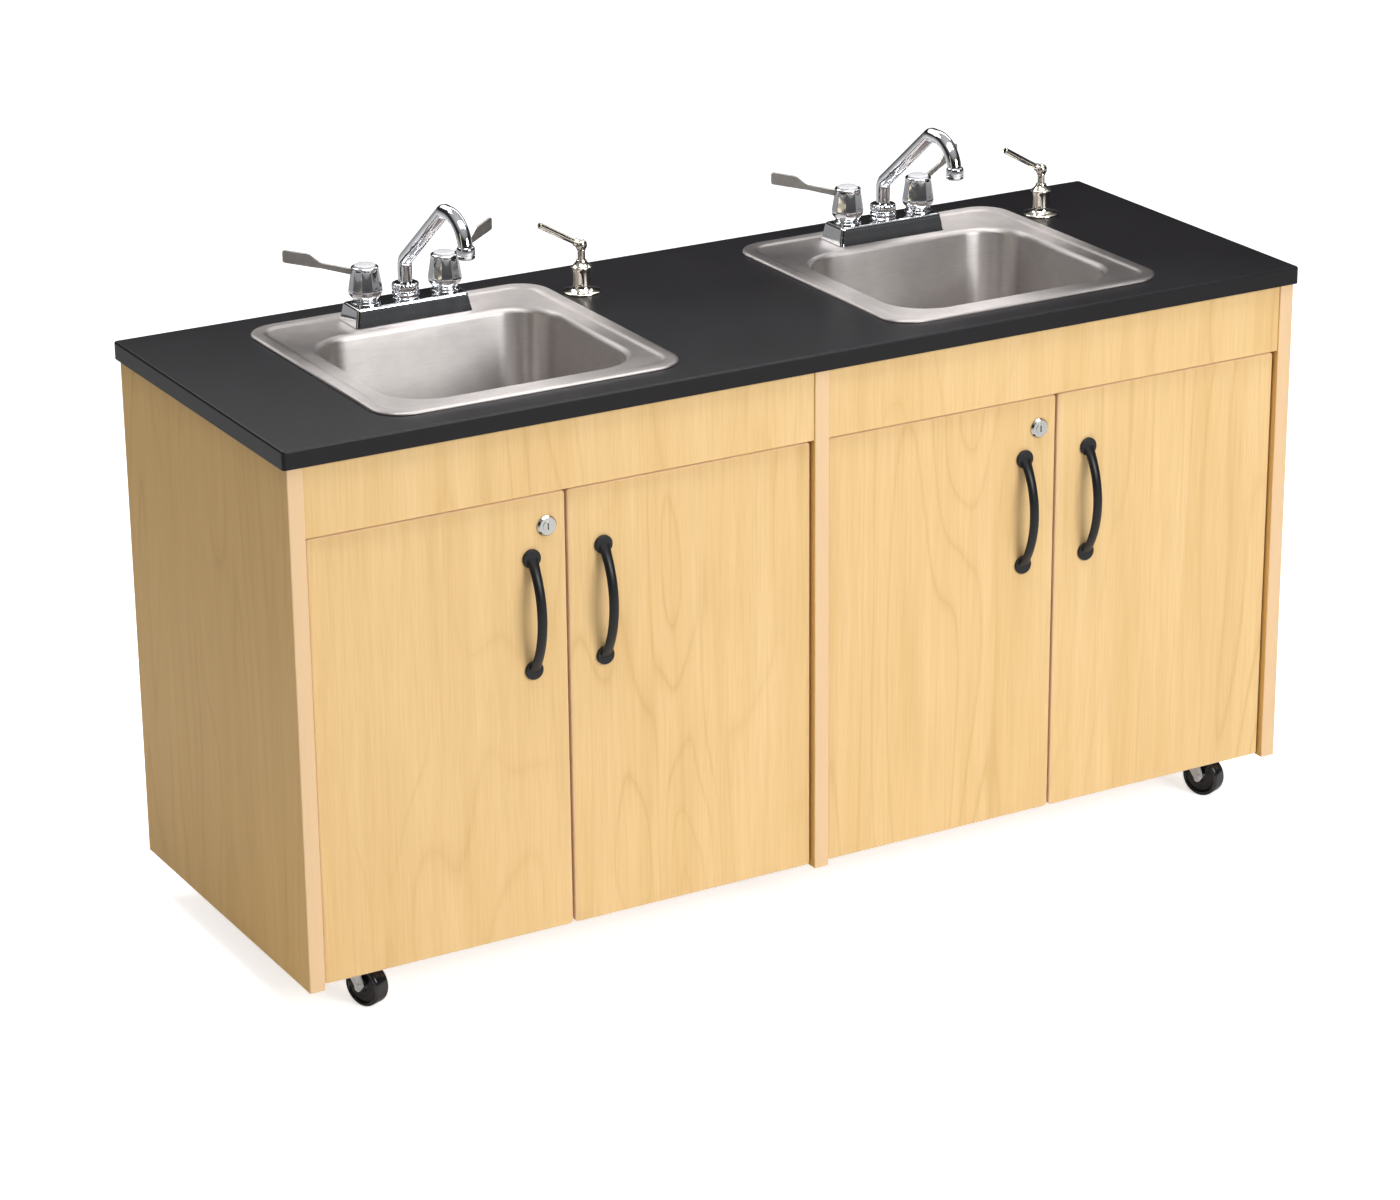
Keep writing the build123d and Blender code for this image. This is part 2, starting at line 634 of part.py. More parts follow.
# ---------------------------------------------------------------- soap pumps
def soap_pump_base():
    """Flange, column and threaded shank, bored for the stem."""
    bore = PUMP_STEM_RADIUS + RUNNING_CLEARANCE
    profile = (
        (bore, -60), (PUMP_SHANK_RADIUS, -60), (PUMP_SHANK_RADIUS, 0), (23, 0), (23, 1.6), (21.5, 3),
        (13.6, 4.6), (12, 7), (11.2, 12), (11.2, 26), (12.4, 29), (12.4, 31.5), (10, 34), (7.2, 37),
        (6, 40), (bore, 40),
    )
    return lathe(profile)


def soap_bottle():
    """Bottle with its neck around the shank."""
    neck = PUMP_SHANK_RADIUS
    profile = (
        (neck, -30), (neck + 3, -30), (neck + 3, -44), (30, -56), (32, -60), (32, -186), (29, -190),
        (0, -190), (0, -187.5), (28, -187.5), (29.5, -185), (29.5, -61), (neck, -47),
    )
    return lathe(profile)


def pump_stem():
    return lathe(((0, -24), (PUMP_STEM_RADIUS, -24), (PUMP_STEM_RADIUS, PUMP_STEM_TOP),
                  (PUMP_TIP_RADIUS, PUMP_STEM_TOP), (PUMP_TIP_RADIUS, 60), (0, 60)))


def pump_head():
    """Ball head on the stem's tip, with the straight nozzle rising to the left."""
    centre = PUMP_HEAD_HEIGHT
    head = Pos(0, 0, centre) * Sphere(PUMP_HEAD_RADIUS)
    head += rod((0, 0, PUMP_STEM_TOP + LOOSE_CLEARANCE), (0, 0, centre), 5.4)
    rise = radians(NOZZLE_RISE)
    tip = (-NOZZLE_LENGTH * cos(rise), 0, centre + NOZZLE_LENGTH * sin(rise))
    head += rod((0, 0, centre), tip, NOZZLE_RADIUS)
    mouth = tuple(Vector(0, 0, centre) + (Vector(*tip) - Vector(0, 0, centre)) * 0.92)
    head -= rod(mouth, tip, NOZZLE_RADIUS - 1)
    return head - rod((0, 0, 50), (0, 0, 60.4), PUMP_TIP_RADIUS + RUNNING_CLEARANCE)


def write_soap_pumps():
    places = {name: Pos(x + PUMP_FROM_SINK, PUMP_Y, COUNTER_TOP) for name, x in SINKS.items()}
    write("soap_pump_bases", *[place * soap_pump_base() for place in places.values()])
    write("soap_bottles", *[place * soap_bottle() for place in places.values()])
    for name, place in places.items():
        write(f"pump_stem_{name}", place * pump_stem())
        write(f"pump_head_{name}", place * pump_head())


# ---------------------------------------------------------------- casters
def caster_plate(x, y):
    """Plate with its raceway and the kingpin that carries the fork."""
    plate = block((-CASTER_PLATE[0] / 2, CASTER_PLATE[0] / 2), (-CASTER_PLATE[1] / 2, CASTER_PLATE[1] / 2),
                  (BOTTOM_UNDERSIDE - CASTER_PLATE[2], BOTTOM_UNDERSIDE))
    plate = fillet(plate.edges().filter_by(Axis.Z), 4)
    plate += rod((0, 0, 58.2), (0, 0, BOTTOM_UNDERSIDE - 1), 17)
    plate += rod((0, 0, 53.9), (0, 0, 59), KINGPIN_RADIUS)
    plate += rod((0, 0, 52), (0, 0, 54), 8)
    return Pos(x, y, 0) * plate


def caster_fork():
    """Crown and two legs, with the axle and its rivet heads as a second solid; it trails along X."""
    crown = rod((0, 0, 54.4), (0, 0, 57.8), 18)
    inside = WHEEL_WIDTH / 2 + 1
    sheet = 2
    outline = Polyline((-13, 0, 57.8), (14, 0, 57.8), (24.5, 0, 27), (18, 0, 18.5), (11, 0, 25), close=True)
    leg = extrude(make_face(outline), amount=sheet / 2, both=True)
    leg = fillet(leg.edges().filter_by(Axis.Y).sort_by(Axis.Z)[:3], 4)
    fork = crown
    for side in (-1, 1):
        fork += Pos(0, side * (inside + sheet / 2), 0) * leg
    axle_start = (CASTER_TRAIL, -inside - sheet, WHEEL_RADIUS)
    axle_end = (CASTER_TRAIL, inside + sheet, WHEEL_RADIUS)
    fork -= rod(axle_start, axle_end, AXLE_RADIUS)
    fork -= rod((0, 0, 50), (0, 0, 60), KINGPIN_RADIUS + RUNNING_CLEARANCE)
    axle = rod(axle_start, axle_end, AXLE_RADIUS)
    for end, side in ((axle_start, -1), (axle_end, 1)):
        axle += rod(end, (end[0], end[1] + side * 2.5, end[2]), 4.6)
    return fork, axle


def caster_wheel():
    """Solid tyre with a recessed hub, bored for the axle."""
    half = WHEEL_WIDTH / 2
    bore = AXLE_RADIUS + RUNNING_CLEARANCE
    profile = (
        (bore, -half), (7, -half), (8.5, -half + 3), (18, -half + 3), (20, -half), (WHEEL_RADIUS - 3, -half),
        (WHEEL_RADIUS, -half + 4), (WHEEL_RADIUS, half - 4), (WHEEL_RADIUS - 3, half), (20, half),
        (18, half - 3), (8.5, half - 3), (7, half), (bore, half),
    )
    return Pos(CASTER_TRAIL, 0, WHEEL_RADIUS) * lathe_forward(profile)


def write_casters():
    plates = [drilled(caster_plate(x, y), caster_screws()) for x, y in CASTERS.values()]
    write("caster_plates", *plates)
    for name, (x, y) in CASTERS.items():
        place = Pos(x, y, 0) * Rot(0, 0, CASTER_TURN)
        write(f"caster_fork_{name}", *[place * solid for solid in caster_fork()])
        write(f"caster_wheel_{name}", place * caster_wheel())


# ---------------------------------------------------------------- tanks and plumbing
def tank(x, neck_x, neck_y):
    """Blow-moulded tank with an open neck."""
    width, depth, height = TANK_SIZE
    centre = Pos(x, TANK_Y, 0)
    outer = centre * rounded_slab(width, depth, 26, FLOOR_TOP, TANK_TOP)
    outer = fillet(outer.faces().filter_by(Plane.XY).edges(), 12)
    hollow = centre * rounded_slab(width - 2 * TANK_WALL, depth - 2 * TANK_WALL, 26 - TANK_WALL,
                                   FLOOR_TOP + TANK_WALL, TANK_TOP - TANK_WALL)
    hollow = fillet(hollow.faces().filter_by(Plane.XY).edges(), 12 - TANK_WALL)
    neck = rod((neck_x, neck_y, TANK_TOP - 1), (neck_x, neck_y, TANK_TOP + 20), NECK_RADIUS)
    mouth = rod((neck_x, neck_y, TANK_TOP - 10), (neck_x, neck_y, TANK_TOP + 21), NECK_RADIUS - TANK_WALL)
    return outer - hollow + neck - mouth


def tank_cap(x, y, hole):
    """Screw cap over the neck, with the hole that its hose or tube goes through."""
    skirt = 28
    profile = (
        (hole, CAP_TOP), (skirt - 1, CAP_TOP), (skirt, CAP_TOP - 1), (skirt, TANK_TOP + 4),
        (NECK_RADIUS, TANK_TOP + 4), (NECK_RADIUS, TANK_TOP + 20), (hole, TANK_TOP + 20),
    )
    return Pos(x, y, 0) * lathe(profile)


def water_heater():
    """Small tank heater with two nipples on top."""
    top = FLOOR_TOP + HEATER_HEIGHT
    shell = block(HEATER_X, HEATER_Y, (FLOOR_TOP + 6, top))
    shell = fillet(shell.edges(), 16)
    feet_x = (HEATER_X[0] + 30, HEATER_X[1] - 30)
    feet_y = (HEATER_Y[0] + 30, HEATER_Y[1] - 30)
    for x in feet_x:
        for y in feet_y:
            shell += rod((x, y, FLOOR_TOP), (x, y, FLOOR_TOP + 8), 12)
    for x in heater_ports():
        shell += rod((x, LINE_Y, top - 1), (x, LINE_Y, top + 12), 9)
    return shell


def heater_ports():
    """X of the hot outlet and of the cold inlet."""
    return HEATER_X[0] + 66, HEATER_X[1] - 66


def supply_pump():
    """Motor and diaphragm head on a base plate, with the inlet and outlet on top."""
    x0, x1 = PUMP_BASE_X
    base = block((x0, x1), (80, 200), (FLOOR_TOP, FLOOR_TOP + 6))
    middle = (80 + 200) / 2
    axis_z = FLOOR_TOP + 52
    motor = rod((x0 + 4, middle, axis_z), (x1 - 50, middle, axis_z), 36)
    head = block((x1 - 52, x1 - 4), (middle - 42, middle + 42), (FLOOR_TOP + 6, FLOOR_TOP + 96))
    head = fillet(head.edges().filter_by(Axis.X), 10)
    saddle = block((x0 + 15, x1 - 40), (middle - 22, middle + 22), (FLOOR_TOP + 4, FLOOR_TOP + 30))
    body = base + motor + head + saddle
    for x, y in pump_ports():
        body += rod((x, y, FLOOR_TOP + 90), (x, y, FLOOR_TOP + 108), 9)
    return body


def pump_ports():
    """X and Y of the suction port and of the outlet."""
    x = PUMP_BASE_X[1] - 28
    return (x, FRESH_NECK_Y + 12), (x, LINE_Y - 8)


def faucet_branch(x, height, top):
    """Branch from a rear line forward and up to a faucet shank."""
    points = ((x, LINE_Y, height), (x, FAUCET_Y, height), (x, FAUCET_Y, top))
    return pipe(points, (10,), BRANCH_RADIUS)


def supply_tubes():
    """Suction, cold and hot lines, each one run with its branches."""
    hot_port, cold_port = heater_ports()
    (suction_x, suction_y), (outlet_x, outlet_y) = pump_ports()
    heater_top = FLOOR_TOP + HEATER_HEIGHT + 12
    pump_top = FLOOR_TOP + 108
    shank_low = DECK - 46
    cold = pipe(((outlet_x, outlet_y, pump_top), (outlet_x, outlet_y, 420), (outlet_x, LINE_Y, 450),
                 (outlet_x, LINE_Y, COLD_LINE_HEIGHT), (cold_port, LINE_Y, COLD_LINE_HEIGHT),
                 (cold_port, LINE_Y, heater_top)), (20, 20, 40, 40), LINE_RADIUS)
    hot_end = SINK_CENTRES[1] - HUB_SPACING
    hot = pipe(((hot_port, LINE_Y, heater_top), (hot_port, LINE_Y, HOT_LINE_HEIGHT),
                (hot_end, LINE_Y, HOT_LINE_HEIGHT), (hot_end, FAUCET_Y, HOT_LINE_HEIGHT),
                (hot_end, FAUCET_Y, shank_low)), (40, 10, 10), LINE_RADIUS)
    hot += faucet_branch(SINK_CENTRES[0] - HUB_SPACING, HOT_LINE_HEIGHT, shank_low)
    for centre in SINK_CENTRES:
        cold += faucet_branch(centre + HUB_SPACING, COLD_LINE_HEIGHT, shank_low)
    left_neck, right_neck = FRESH_TANK_X
    suction = pipe(((left_neck, FRESH_NECK_Y, FLOOR_TOP + 30), (left_neck, FRESH_NECK_Y, SUCTION_LINE_HEIGHT),
                    (suction_x - 30, FRESH_NECK_Y, SUCTION_LINE_HEIGHT),
                    (suction_x, suction_y, SUCTION_LINE_HEIGHT - 60), (suction_x, suction_y, pump_top)),
                   (30, 30, 30), LINE_RADIUS)
    suction += rod((right_neck, FRESH_NECK_Y, FLOOR_TOP + 30),
                   (right_neck, FRESH_NECK_Y, SUCTION_LINE_HEIGHT), BRANCH_RADIUS)
    return cold, hot, suction


def inlet_body():
    """Power inlet, flush with the back face and set through the panel."""
    body = block((INLET_X - 24, INLET_X + 24), (BACK_FACE - 16, PANEL_BACK), (INLET_Z - 14, INLET_Z + 14))
    return fillet(body.edges().filter_by(Axis.Y), 3)


def power_inlet():
    """Inlet with its recess and three flat pins."""
    recess = block((INLET_X - 12, INLET_X + 12), (BACK_FACE - 8, PANEL_BACK + 1), (INLET_Z - 8, INLET_Z + 8))
    body = inlet_body() - recess
    for dx, dz in ((-7, -2), (7, -2), (0, 3)):
        body += block((INLET_X + dx - 0.8, INLET_X + dx + 0.8), (BACK_FACE - 9, PANEL_BACK - 4),
                      (INLET_Z + dz - 2, INLET_Z + dz + 2))
    return body


def write_plumbing():
    tanks = []
    caps = []
    for x, tube_radius in zip(FRESH_TANK_X, (LINE_RADIUS, BRANCH_RADIUS)):
        tanks.append(tank(x, x, FRESH_NECK_Y))
        caps.append(tank_cap(x, FRESH_NECK_Y, tube_radius))
    for x, sink_x in zip(WASTE_TANK_X, SINK_CENTRES):
        tanks.append(tank(x, sink_x, BOWL_Y))
        caps.append(tank_cap(sink_x, BOWL_Y, 20.6))
    write("water_tanks", *tanks)
    write("tank_caps", *caps)
    write("water_heater", water_heater())
    write("supply_pump", supply_pump())
    write("supply_tubes", *supply_tubes())
    write("power_inlet", power_inlet())


os.makedirs("parts", exist_ok=True)
write_cabinet()
write_doors()
write_sinks()
write_faucets()
write_soap_pumps()
write_casters()
write_plumbing()
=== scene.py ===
"""Looks of the portable handwash sink: laminate, stainless steel, chrome and its studio."""
from math import atan2, cos, hypot, pi, radians, sin, tan

import bmesh
import bpy
from mathutils import Euler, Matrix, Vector

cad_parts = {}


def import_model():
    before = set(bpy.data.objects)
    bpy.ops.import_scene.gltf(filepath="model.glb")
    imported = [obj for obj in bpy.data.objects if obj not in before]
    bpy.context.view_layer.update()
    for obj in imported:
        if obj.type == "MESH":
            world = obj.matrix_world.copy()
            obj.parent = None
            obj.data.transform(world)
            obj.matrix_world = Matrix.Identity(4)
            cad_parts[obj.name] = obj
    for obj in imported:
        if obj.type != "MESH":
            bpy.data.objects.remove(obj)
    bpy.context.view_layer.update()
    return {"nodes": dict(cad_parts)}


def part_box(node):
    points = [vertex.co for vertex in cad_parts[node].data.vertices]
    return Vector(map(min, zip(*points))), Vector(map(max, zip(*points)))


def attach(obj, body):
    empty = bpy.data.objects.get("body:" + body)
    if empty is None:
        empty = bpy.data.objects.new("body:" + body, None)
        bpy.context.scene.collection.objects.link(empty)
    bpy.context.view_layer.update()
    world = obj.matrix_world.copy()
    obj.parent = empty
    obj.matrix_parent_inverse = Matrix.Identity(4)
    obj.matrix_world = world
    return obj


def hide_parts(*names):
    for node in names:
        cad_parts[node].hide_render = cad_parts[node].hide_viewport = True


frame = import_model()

MM = 0.001
scene = bpy.context.scene


# ---------------------------------------------------------------- node helpers
class Shader:
    """A node tree with short calls for the nodes that the finishes use."""

    def __init__(self, name):
        self.material = bpy.data.materials.new(name)
        self.material.use_nodes = True
        self.nodes = self.material.node_tree.nodes
        self.links = self.material.node_tree.links
        self.surface = self.nodes["Principled BSDF"]
        self.coords = self.nodes.new("ShaderNodeTexCoord").outputs["Object"]

    def set(self, **values):
        """Values of the shader's own sockets, such as Roughness or Metallic."""
        for name, value in values.items():
            self.surface.inputs[name.replace("_", " ")].default_value = value

    def join(self, source, name):
        self.links.new(source, self.surface.inputs[name])

    def stretched(self, scale, shift=(0, 0, 0)):
        """Object coordinates, scaled and shifted."""
        node = self.nodes.new("ShaderNodeMapping")
        node.inputs["Scale"].default_value = scale
        node.inputs["Location"].default_value = shift
        self.links.new(self.coords, node.inputs["Vector"])
        return node.outputs["Vector"]

    def noise(self, vector, scale, detail=3, rough=0.55, distortion=0.0):
        node = self.nodes.new("ShaderNodeTexNoise")
        node.inputs["Scale"].default_value = scale
        node.inputs["Detail"].default_value = detail
        node.inputs["Roughness"].default_value = rough
        node.inputs["Distortion"].default_value = distortion
        self.links.new(vector, node.inputs["Vector"])
        return node.outputs["Fac"]

    def math(self, operation, first, second=0.5, third=0.5):
        node = self.nodes.new("ShaderNodeMath")
        node.operation = operation
        for socket, value in zip(node.inputs, (first, second, third)):
            if isinstance(value, (int, float)):
                socket.default_value = value
            else:
                self.links.new(value, socket)
        return node.outputs[0]

    def ramp(self, source, *stops):
        """Colour ramp from (position, colour) stops."""
        node = self.nodes.new("ShaderNodeValToRGB")
        elements = node.color_ramp.elements
        while len(elements) < len(stops):
            elements.new(0.5)
        for element, (position, colour) in zip(elements, stops):
            element.position = position
            element.color = (*colour, 1)
        self.links.new(source, node.inputs["Fac"])
        return node.outputs["Color"]

    def mix(self, factor, first, second, blend="MIX"):
        node = self.nodes.new("ShaderNodeMix")
        node.data_type = "RGBA"
        node.blend_type = blend
        sockets = {"Factor": node.inputs[0], "A": node.inputs[6], "B": node.inputs[7]}
        for name, value in (("Factor", factor), ("A", first), ("B", second)):
            if isinstance(value, (int, float)):
                sockets[name].default_value = value
            elif isinstance(value, tuple):
                sockets[name].default_value = (*value, 1)
            else:
                self.links.new(value, sockets[name])
        return node.outputs[2]

    def bump(self, height, strength, distance):
        node = self.nodes.new("ShaderNodeBump")
        node.inputs["Strength"].default_value = strength
        node.inputs["Distance"].default_value = distance
        self.links.new(height, node.inputs["Height"])
        self.join(node.outputs["Normal"], "Normal")

    def normal_part(self, axis):
        """Size of the surface normal along an axis of the object, whatever its pose."""
        split = self.nodes.new("ShaderNodeSeparateXYZ")
        self.links.new(self.coords.node.outputs["Normal"], split.inputs[0])
        return self.math("ABSOLUTE", split.outputs[axis])


# ---------------------------------------------------------------- finishes
MAPLE_PALE = (0.800, 0.562, 0.275)
MAPLE_MID = (0.740, 0.500, 0.225)
MAPLE_LINE = (0.56, 0.340, 0.115)
EDGE_BAND_AND_HIGHLIGHT = (0.80, 0.575, 0.370)
NO_TINT = (1, 1, 1)
# painted shade for the boards that face X: a darker, more saturated tint
PAINTED_SHADE_TINT = (0.88, 0.80, 0.56)
FIGURE_RINGS = 15
RING_SHARPNESS = 7
RING_STRENGTH = 0.55
FIBRE_STRENGTH = 0.75
FACE_NORMAL = 0.93


def maple(name, shift, flat_axis="Y", edge_tint=0.75, tint=NO_TINT):
    """Maple woodgrain laminate with the grain along Z.

    A board faces flat_axis, and every side of it that doesn't is an edge with a paler band: partly the
    boards' paler edge banding, partly a painted highlight along their rounded edges.
    """
    s = Shader(name)
    figure = s.noise(s.stretched((1, 1, 0.16), shift), 5.5, 2, 0.45, 0.35)
    contour = s.math("FRACT", s.math("MULTIPLY", figure, FIGURE_RINGS))
    ridge = s.math("ABSOLUTE", s.math("SUBTRACT", contour, 0.5))
    line = s.math("POWER", s.math("MULTIPLY", ridge, 2.0), RING_SHARPNESS)
    fade = s.noise(s.stretched((1, 1, 0.5), shift), 4, 2)
    line = s.math("MULTIPLY", line, s.math("MULTIPLY", s.math("SUBTRACT", fade, 0.36), 2.6))
    band = s.noise(s.stretched((1, 1, 0.05), shift), 34, 3, 0.6)
    fibre = s.noise(s.stretched((1, 1, 0.025), shift), 420, 3, 0.7)
    tone = s.ramp(band, (0.32, MAPLE_MID), (0.68, MAPLE_PALE))
    tone = s.mix(s.math("MULTIPLY", line, RING_STRENGTH), tone, MAPLE_LINE)
    fleck = s.ramp(fibre, (0.30, (0.90, 0.88, 0.85)), (0.62, (1, 1, 1)))
    tone = s.mix(FIBRE_STRENGTH, tone, fleck, "MULTIPLY")
    tone = s.mix(1.0, tone, tint, "MULTIPLY")
    edge = s.math("LESS_THAN", s.normal_part(flat_axis), FACE_NORMAL)
    # paler edges: partly the edge banding's own colour, partly a painted highlight on the rounded edges
    tone = s.mix(s.math("MULTIPLY", edge, edge_tint), tone, EDGE_BAND_AND_HIGHLIGHT)
    s.join(tone, "Base Color")
    s.join(s.math("MULTIPLY_ADD", band, 0.10, 0.36), "Roughness")
    s.bump(fibre, 0.06, 0.0002)
    s.set(Specular_IOR_Level=0.20)
    return s.material


def counter_laminate():
    """Black laminate with a fine pebbled face."""
    s = Shader("counter laminate")
    speck = s.noise(s.coords, 900, 2, 0.5)
    cloud = s.noise(s.coords, 7, 3)
    s.join(s.ramp(cloud, (0.3, (0.0050, 0.0040, 0.0052)), (0.7, (0.0072, 0.0062, 0.0078))), "Base Color")
    s.join(s.math("MULTIPLY_ADD", cloud, 0.06, 0.34), "Roughness")
    s.bump(speck, 0.14, 0.0002)
    s.set(Specular_IOR_Level=0.26)
    return s.material


def brushed_steel(name, colour, direction, rough=0.27, grain=700):
    """Satin steel, its polishing lines along the direction with the small scale."""
    s = Shader(name)
    lines = s.noise(s.stretched(direction), grain, 4, 0.7)
    cloud = s.noise(s.coords, 9, 2)
    dark = tuple(c * 0.86 for c in colour)
    s.join(s.ramp(lines, (0.3, dark), (0.7, colour)), "Base Color")
    spread = s.math("MULTIPLY_ADD", lines, 0.16, rough - 0.08)
    s.join(s.math("MULTIPLY_ADD", cloud, 0.08, spread), "Roughness")
    s.bump(lines, 0.10, 0.0002)
    s.set(Metallic=1.0)
    return s.material


SINK_FLOOR_HEIGHT = 0.538
SINK_RIM_HEIGHT = 0.6825
RISE_SCALE = 10
# painted shade by height: dark on the bowl's floor, light up the walls
BOWL_PAINTED_SHADE = ((0.0, (0.26, 0.24, 0.23)), (0.10, (0.36, 0.34, 0.33)),
               (0.36, (0.80, 0.79, 0.78)), (1.0, (0.84, 0.83, 0.82)))
RIM_EXTRA_ROUGHNESS = 0.18
# painted shade: a darker tone for the rim than for the walls of the same sheet
RIM_PAINTED_SHADE = (0.58, 0.56, 0.55)


def spun_steel(name, colour, rough=0.30, stretch=0.75):
    """Satin sheet whose polishing lines run round the bowl, so that its highlights stretch up the walls.

    Its tone follows the height with painted shade: the floor is painted darker than the walls, and the rim is
    painted a darker tone and is rougher, so it is duller.
    """
    s = Shader(name)
    lines = s.noise(s.stretched((0.06, 0.06, 1.0)), 620, 4, 0.7)
    cloud = s.noise(s.coords, 9, 2)
    blotch = s.noise(s.coords, 60, 3)
    dark = tuple(c * 0.84 for c in colour)
    grain = s.math("MULTIPLY_ADD", blotch, 0.35, s.math("MULTIPLY", lines, 0.65))
    height = s.nodes.new("ShaderNodeSeparateXYZ")
    s.links.new(s.coords, height.inputs[0])
    rise = s.math("MULTIPLY_ADD", height.outputs[2], RISE_SCALE, -SINK_FLOOR_HEIGHT * RISE_SCALE)
    # painted shade: the colour darkens towards the bowl's floor
    shade = s.ramp(rise, *BOWL_PAINTED_SHADE)
    satin = s.ramp(grain, (0.3, dark), (0.7, colour))
    tone = s.mix(1.0, satin, shade, "MULTIPLY")
    rim = s.math("GREATER_THAN", height.outputs[2], SINK_RIM_HEIGHT)
    # painted shade: the rim above its height gets a darker tone
    s.join(s.mix(rim, tone, s.mix(1.0, satin, RIM_PAINTED_SHADE, "MULTIPLY")), "Base Color")
    spread = s.math("MULTIPLY_ADD", lines, 0.10, rough - 0.05)
    spread = s.math("MULTIPLY_ADD", rim, RIM_EXTRA_ROUGHNESS, spread)
    s.join(s.math("MULTIPLY_ADD", cloud, 0.06, spread), "Roughness")
    s.bump(lines, 0.05, 0.0002)
    tangent = s.nodes.new("ShaderNodeTangent")
    tangent.direction_type = "RADIAL"
    tangent.axis = "Z"
    s.join(tangent.outputs["Tangent"], "Tangent")
    s.set(Metallic=1.0, Anisotropic=stretch, Anisotropic_Rotation=0.25)
    return s.material


def polished(name, colour, rough=0.07):
    """Polished plating with faint smears."""
    s = Shader(name)
    smear = s.noise(s.stretched((1, 1, 0.4)), 60, 3)
    s.join(s.ramp(smear, (0.25, tuple(c * 0.93 for c in colour)), (0.75, colour)), "Base Color")
    s.join(s.math("MULTIPLY_ADD", smear, 0.07, rough - 0.03), "Roughness")
    s.set(Metallic=1.0)
    return s.material


def plated(name, colour, rough=0.3, spangle=260, metal=1.0):
    """Zinc or nickel plate on pressed steel, with a fine mottling."""
    s = Shader(name)
    mottle = s.noise(s.coords, spangle, 3)
    s.join(s.ramp(mottle, (0.3, tuple(c * 0.8 for c in colour)), (0.7, colour)), "Base Color")
    s.join(s.math("MULTIPLY_ADD", mottle, 0.16, rough - 0.08), "Roughness")
    s.bump(mottle, 0.08, 0.0003)
    s.set(Metallic=metal)
    return s.material


def moulded(name, colour, rough=0.4, texture=500, strength=0.1, **extra):
    """Moulded or painted surface with a fine grain and a slight change of tone."""
    s = Shader(name)
    grain = s.noise(s.coords, texture, 2)
    cloud = s.noise(s.coords, 11, 3)
    s.join(s.ramp(cloud, (0.3, tuple(c * 0.88 for c in colour)), (0.7, colour)), "Base Color")
    s.join(s.math("MULTIPLY_ADD", cloud, 0.08, rough - 0.04), "Roughness")
    s.bump(grain, strength, 0.0002)
    s.set(**extra)
    return s.material


COUNTER = counter_laminate()
STEEL = brushed_steel("stainless satin", (0.66, 0.645, 0.63), (0.03, 1, 1))
STEEL_BOWL = spun_steel("sink steel", (0.90, 0.87, 0.86))
CHROME = polished("chrome", (0.80, 0.81, 0.83))
NICKEL = polished("polished nickel", (0.80, 0.75, 0.66), 0.09)
LOCK = polished("lock plating", (0.50, 0.49, 0.47), 0.16)
ENAMEL = moulded("black pull enamel", (0.007, 0.007, 0.008), 0.34, 700, 0.08, Specular_IOR_Level=0.30)
PULL_FACE = moulded("pull disc face", (0.014, 0.014, 0.016), 0.50, 700, 0.12, Specular_IOR_Level=0.28)
HINGE = plated("hinge nickel", (0.64, 0.63, 0.61))
ZINC = plated("caster zinc", (0.74, 0.76, 0.79), 0.36, metal=0.55)
SCREW = plated("screw zinc", (0.62, 0.61, 0.56), 0.34)
TREAD = moulded("wheel tread", (0.008, 0.008, 0.010), 0.20, 240, 0.05)
TANK = moulded("tank polyethylene", (0.80, 0.82, 0.84), 0.42, 300, 0.12, Subsurface_Weight=0.25)
CAP = moulded("tank cap", (0.03, 0.09, 0.34), 0.36, 500, 0.1)
HEATER = moulded("heater enamel", (0.82, 0.82, 0.80), 0.26, 400, 0.05)
PUMP = moulded("pump housing", (0.045, 0.050, 0.058), 0.42, 500, 0.15)
TUBE = moulded("supply tube", (0.66, 0.67, 0.66), 0.30, 300, 0.05)
HOSE = moulded("drain hose", (0.30, 0.31, 0.33), 0.45, 300, 0.1)
BOTTLE = moulded("soap bottle", (0.84, 0.84, 0.80), 0.35, 300, 0.05, Subsurface_Weight=0.2)
INLET = moulded("inlet plastic", (0.02, 0.02, 0.02), 0.4, 600, 0.15)
RAW_WOOD = maple("raw rail wood", (3.1, 0.4, 0.9), "Y", 0.2)
INDEX = moulded("handle index button", (0.62, 0.62, 0.64), 0.16, 300, 0.02)
BLADE = brushed_steel("blade satin", (0.56, 0.54, 0.51), (1, 1, 0.2), 0.36, 160)

PLAIN_NODES = {
    "countertop": COUNTER, "top_rails": RAW_WOOD, "drain_strainers": STEEL, "drain_hoses": HOSE,
    "faucet_bodies": CHROME, "soap_bottles": BOTTLE, "tank_caps": CAP, "water_heater": HEATER,
    "supply_pump": PUMP, "supply_tubes": TUBE, "hinge_arms": HINGE, "caster_plates": ZINC,
    "power_inlet": INLET, "screws": SCREW, "water_tanks": TANK,
}
for number in "1234":
    PLAIN_NODES[f"hinge_cups_{number}"] = HINGE
for node in frame["nodes"]:
    if node.startswith("caster_fork"):
        PLAIN_NODES[node] = ZINC
    if node.startswith("lock_"):
        PLAIN_NODES[node] = LOCK

BOARD_FACES = {
    "side_panel_left": "X", "side_panel_right": "X", "center_divider": "X", "back_panel": "Y",
    "bottom_panel_left": "Z", "bottom_panel_right": "Z", "apron_left": "Y", "apron_right": "Y",
    "door_1": "Y", "door_2": "Y", "door_3": "Y", "door_4": "Y",
}


def paint(node, material):
    """Give a carried-over CAD node its finish."""
    slots = frame["nodes"][node].data.materials
    if len(slots):
        slots[0] = material
    else:
        slots.append(material)


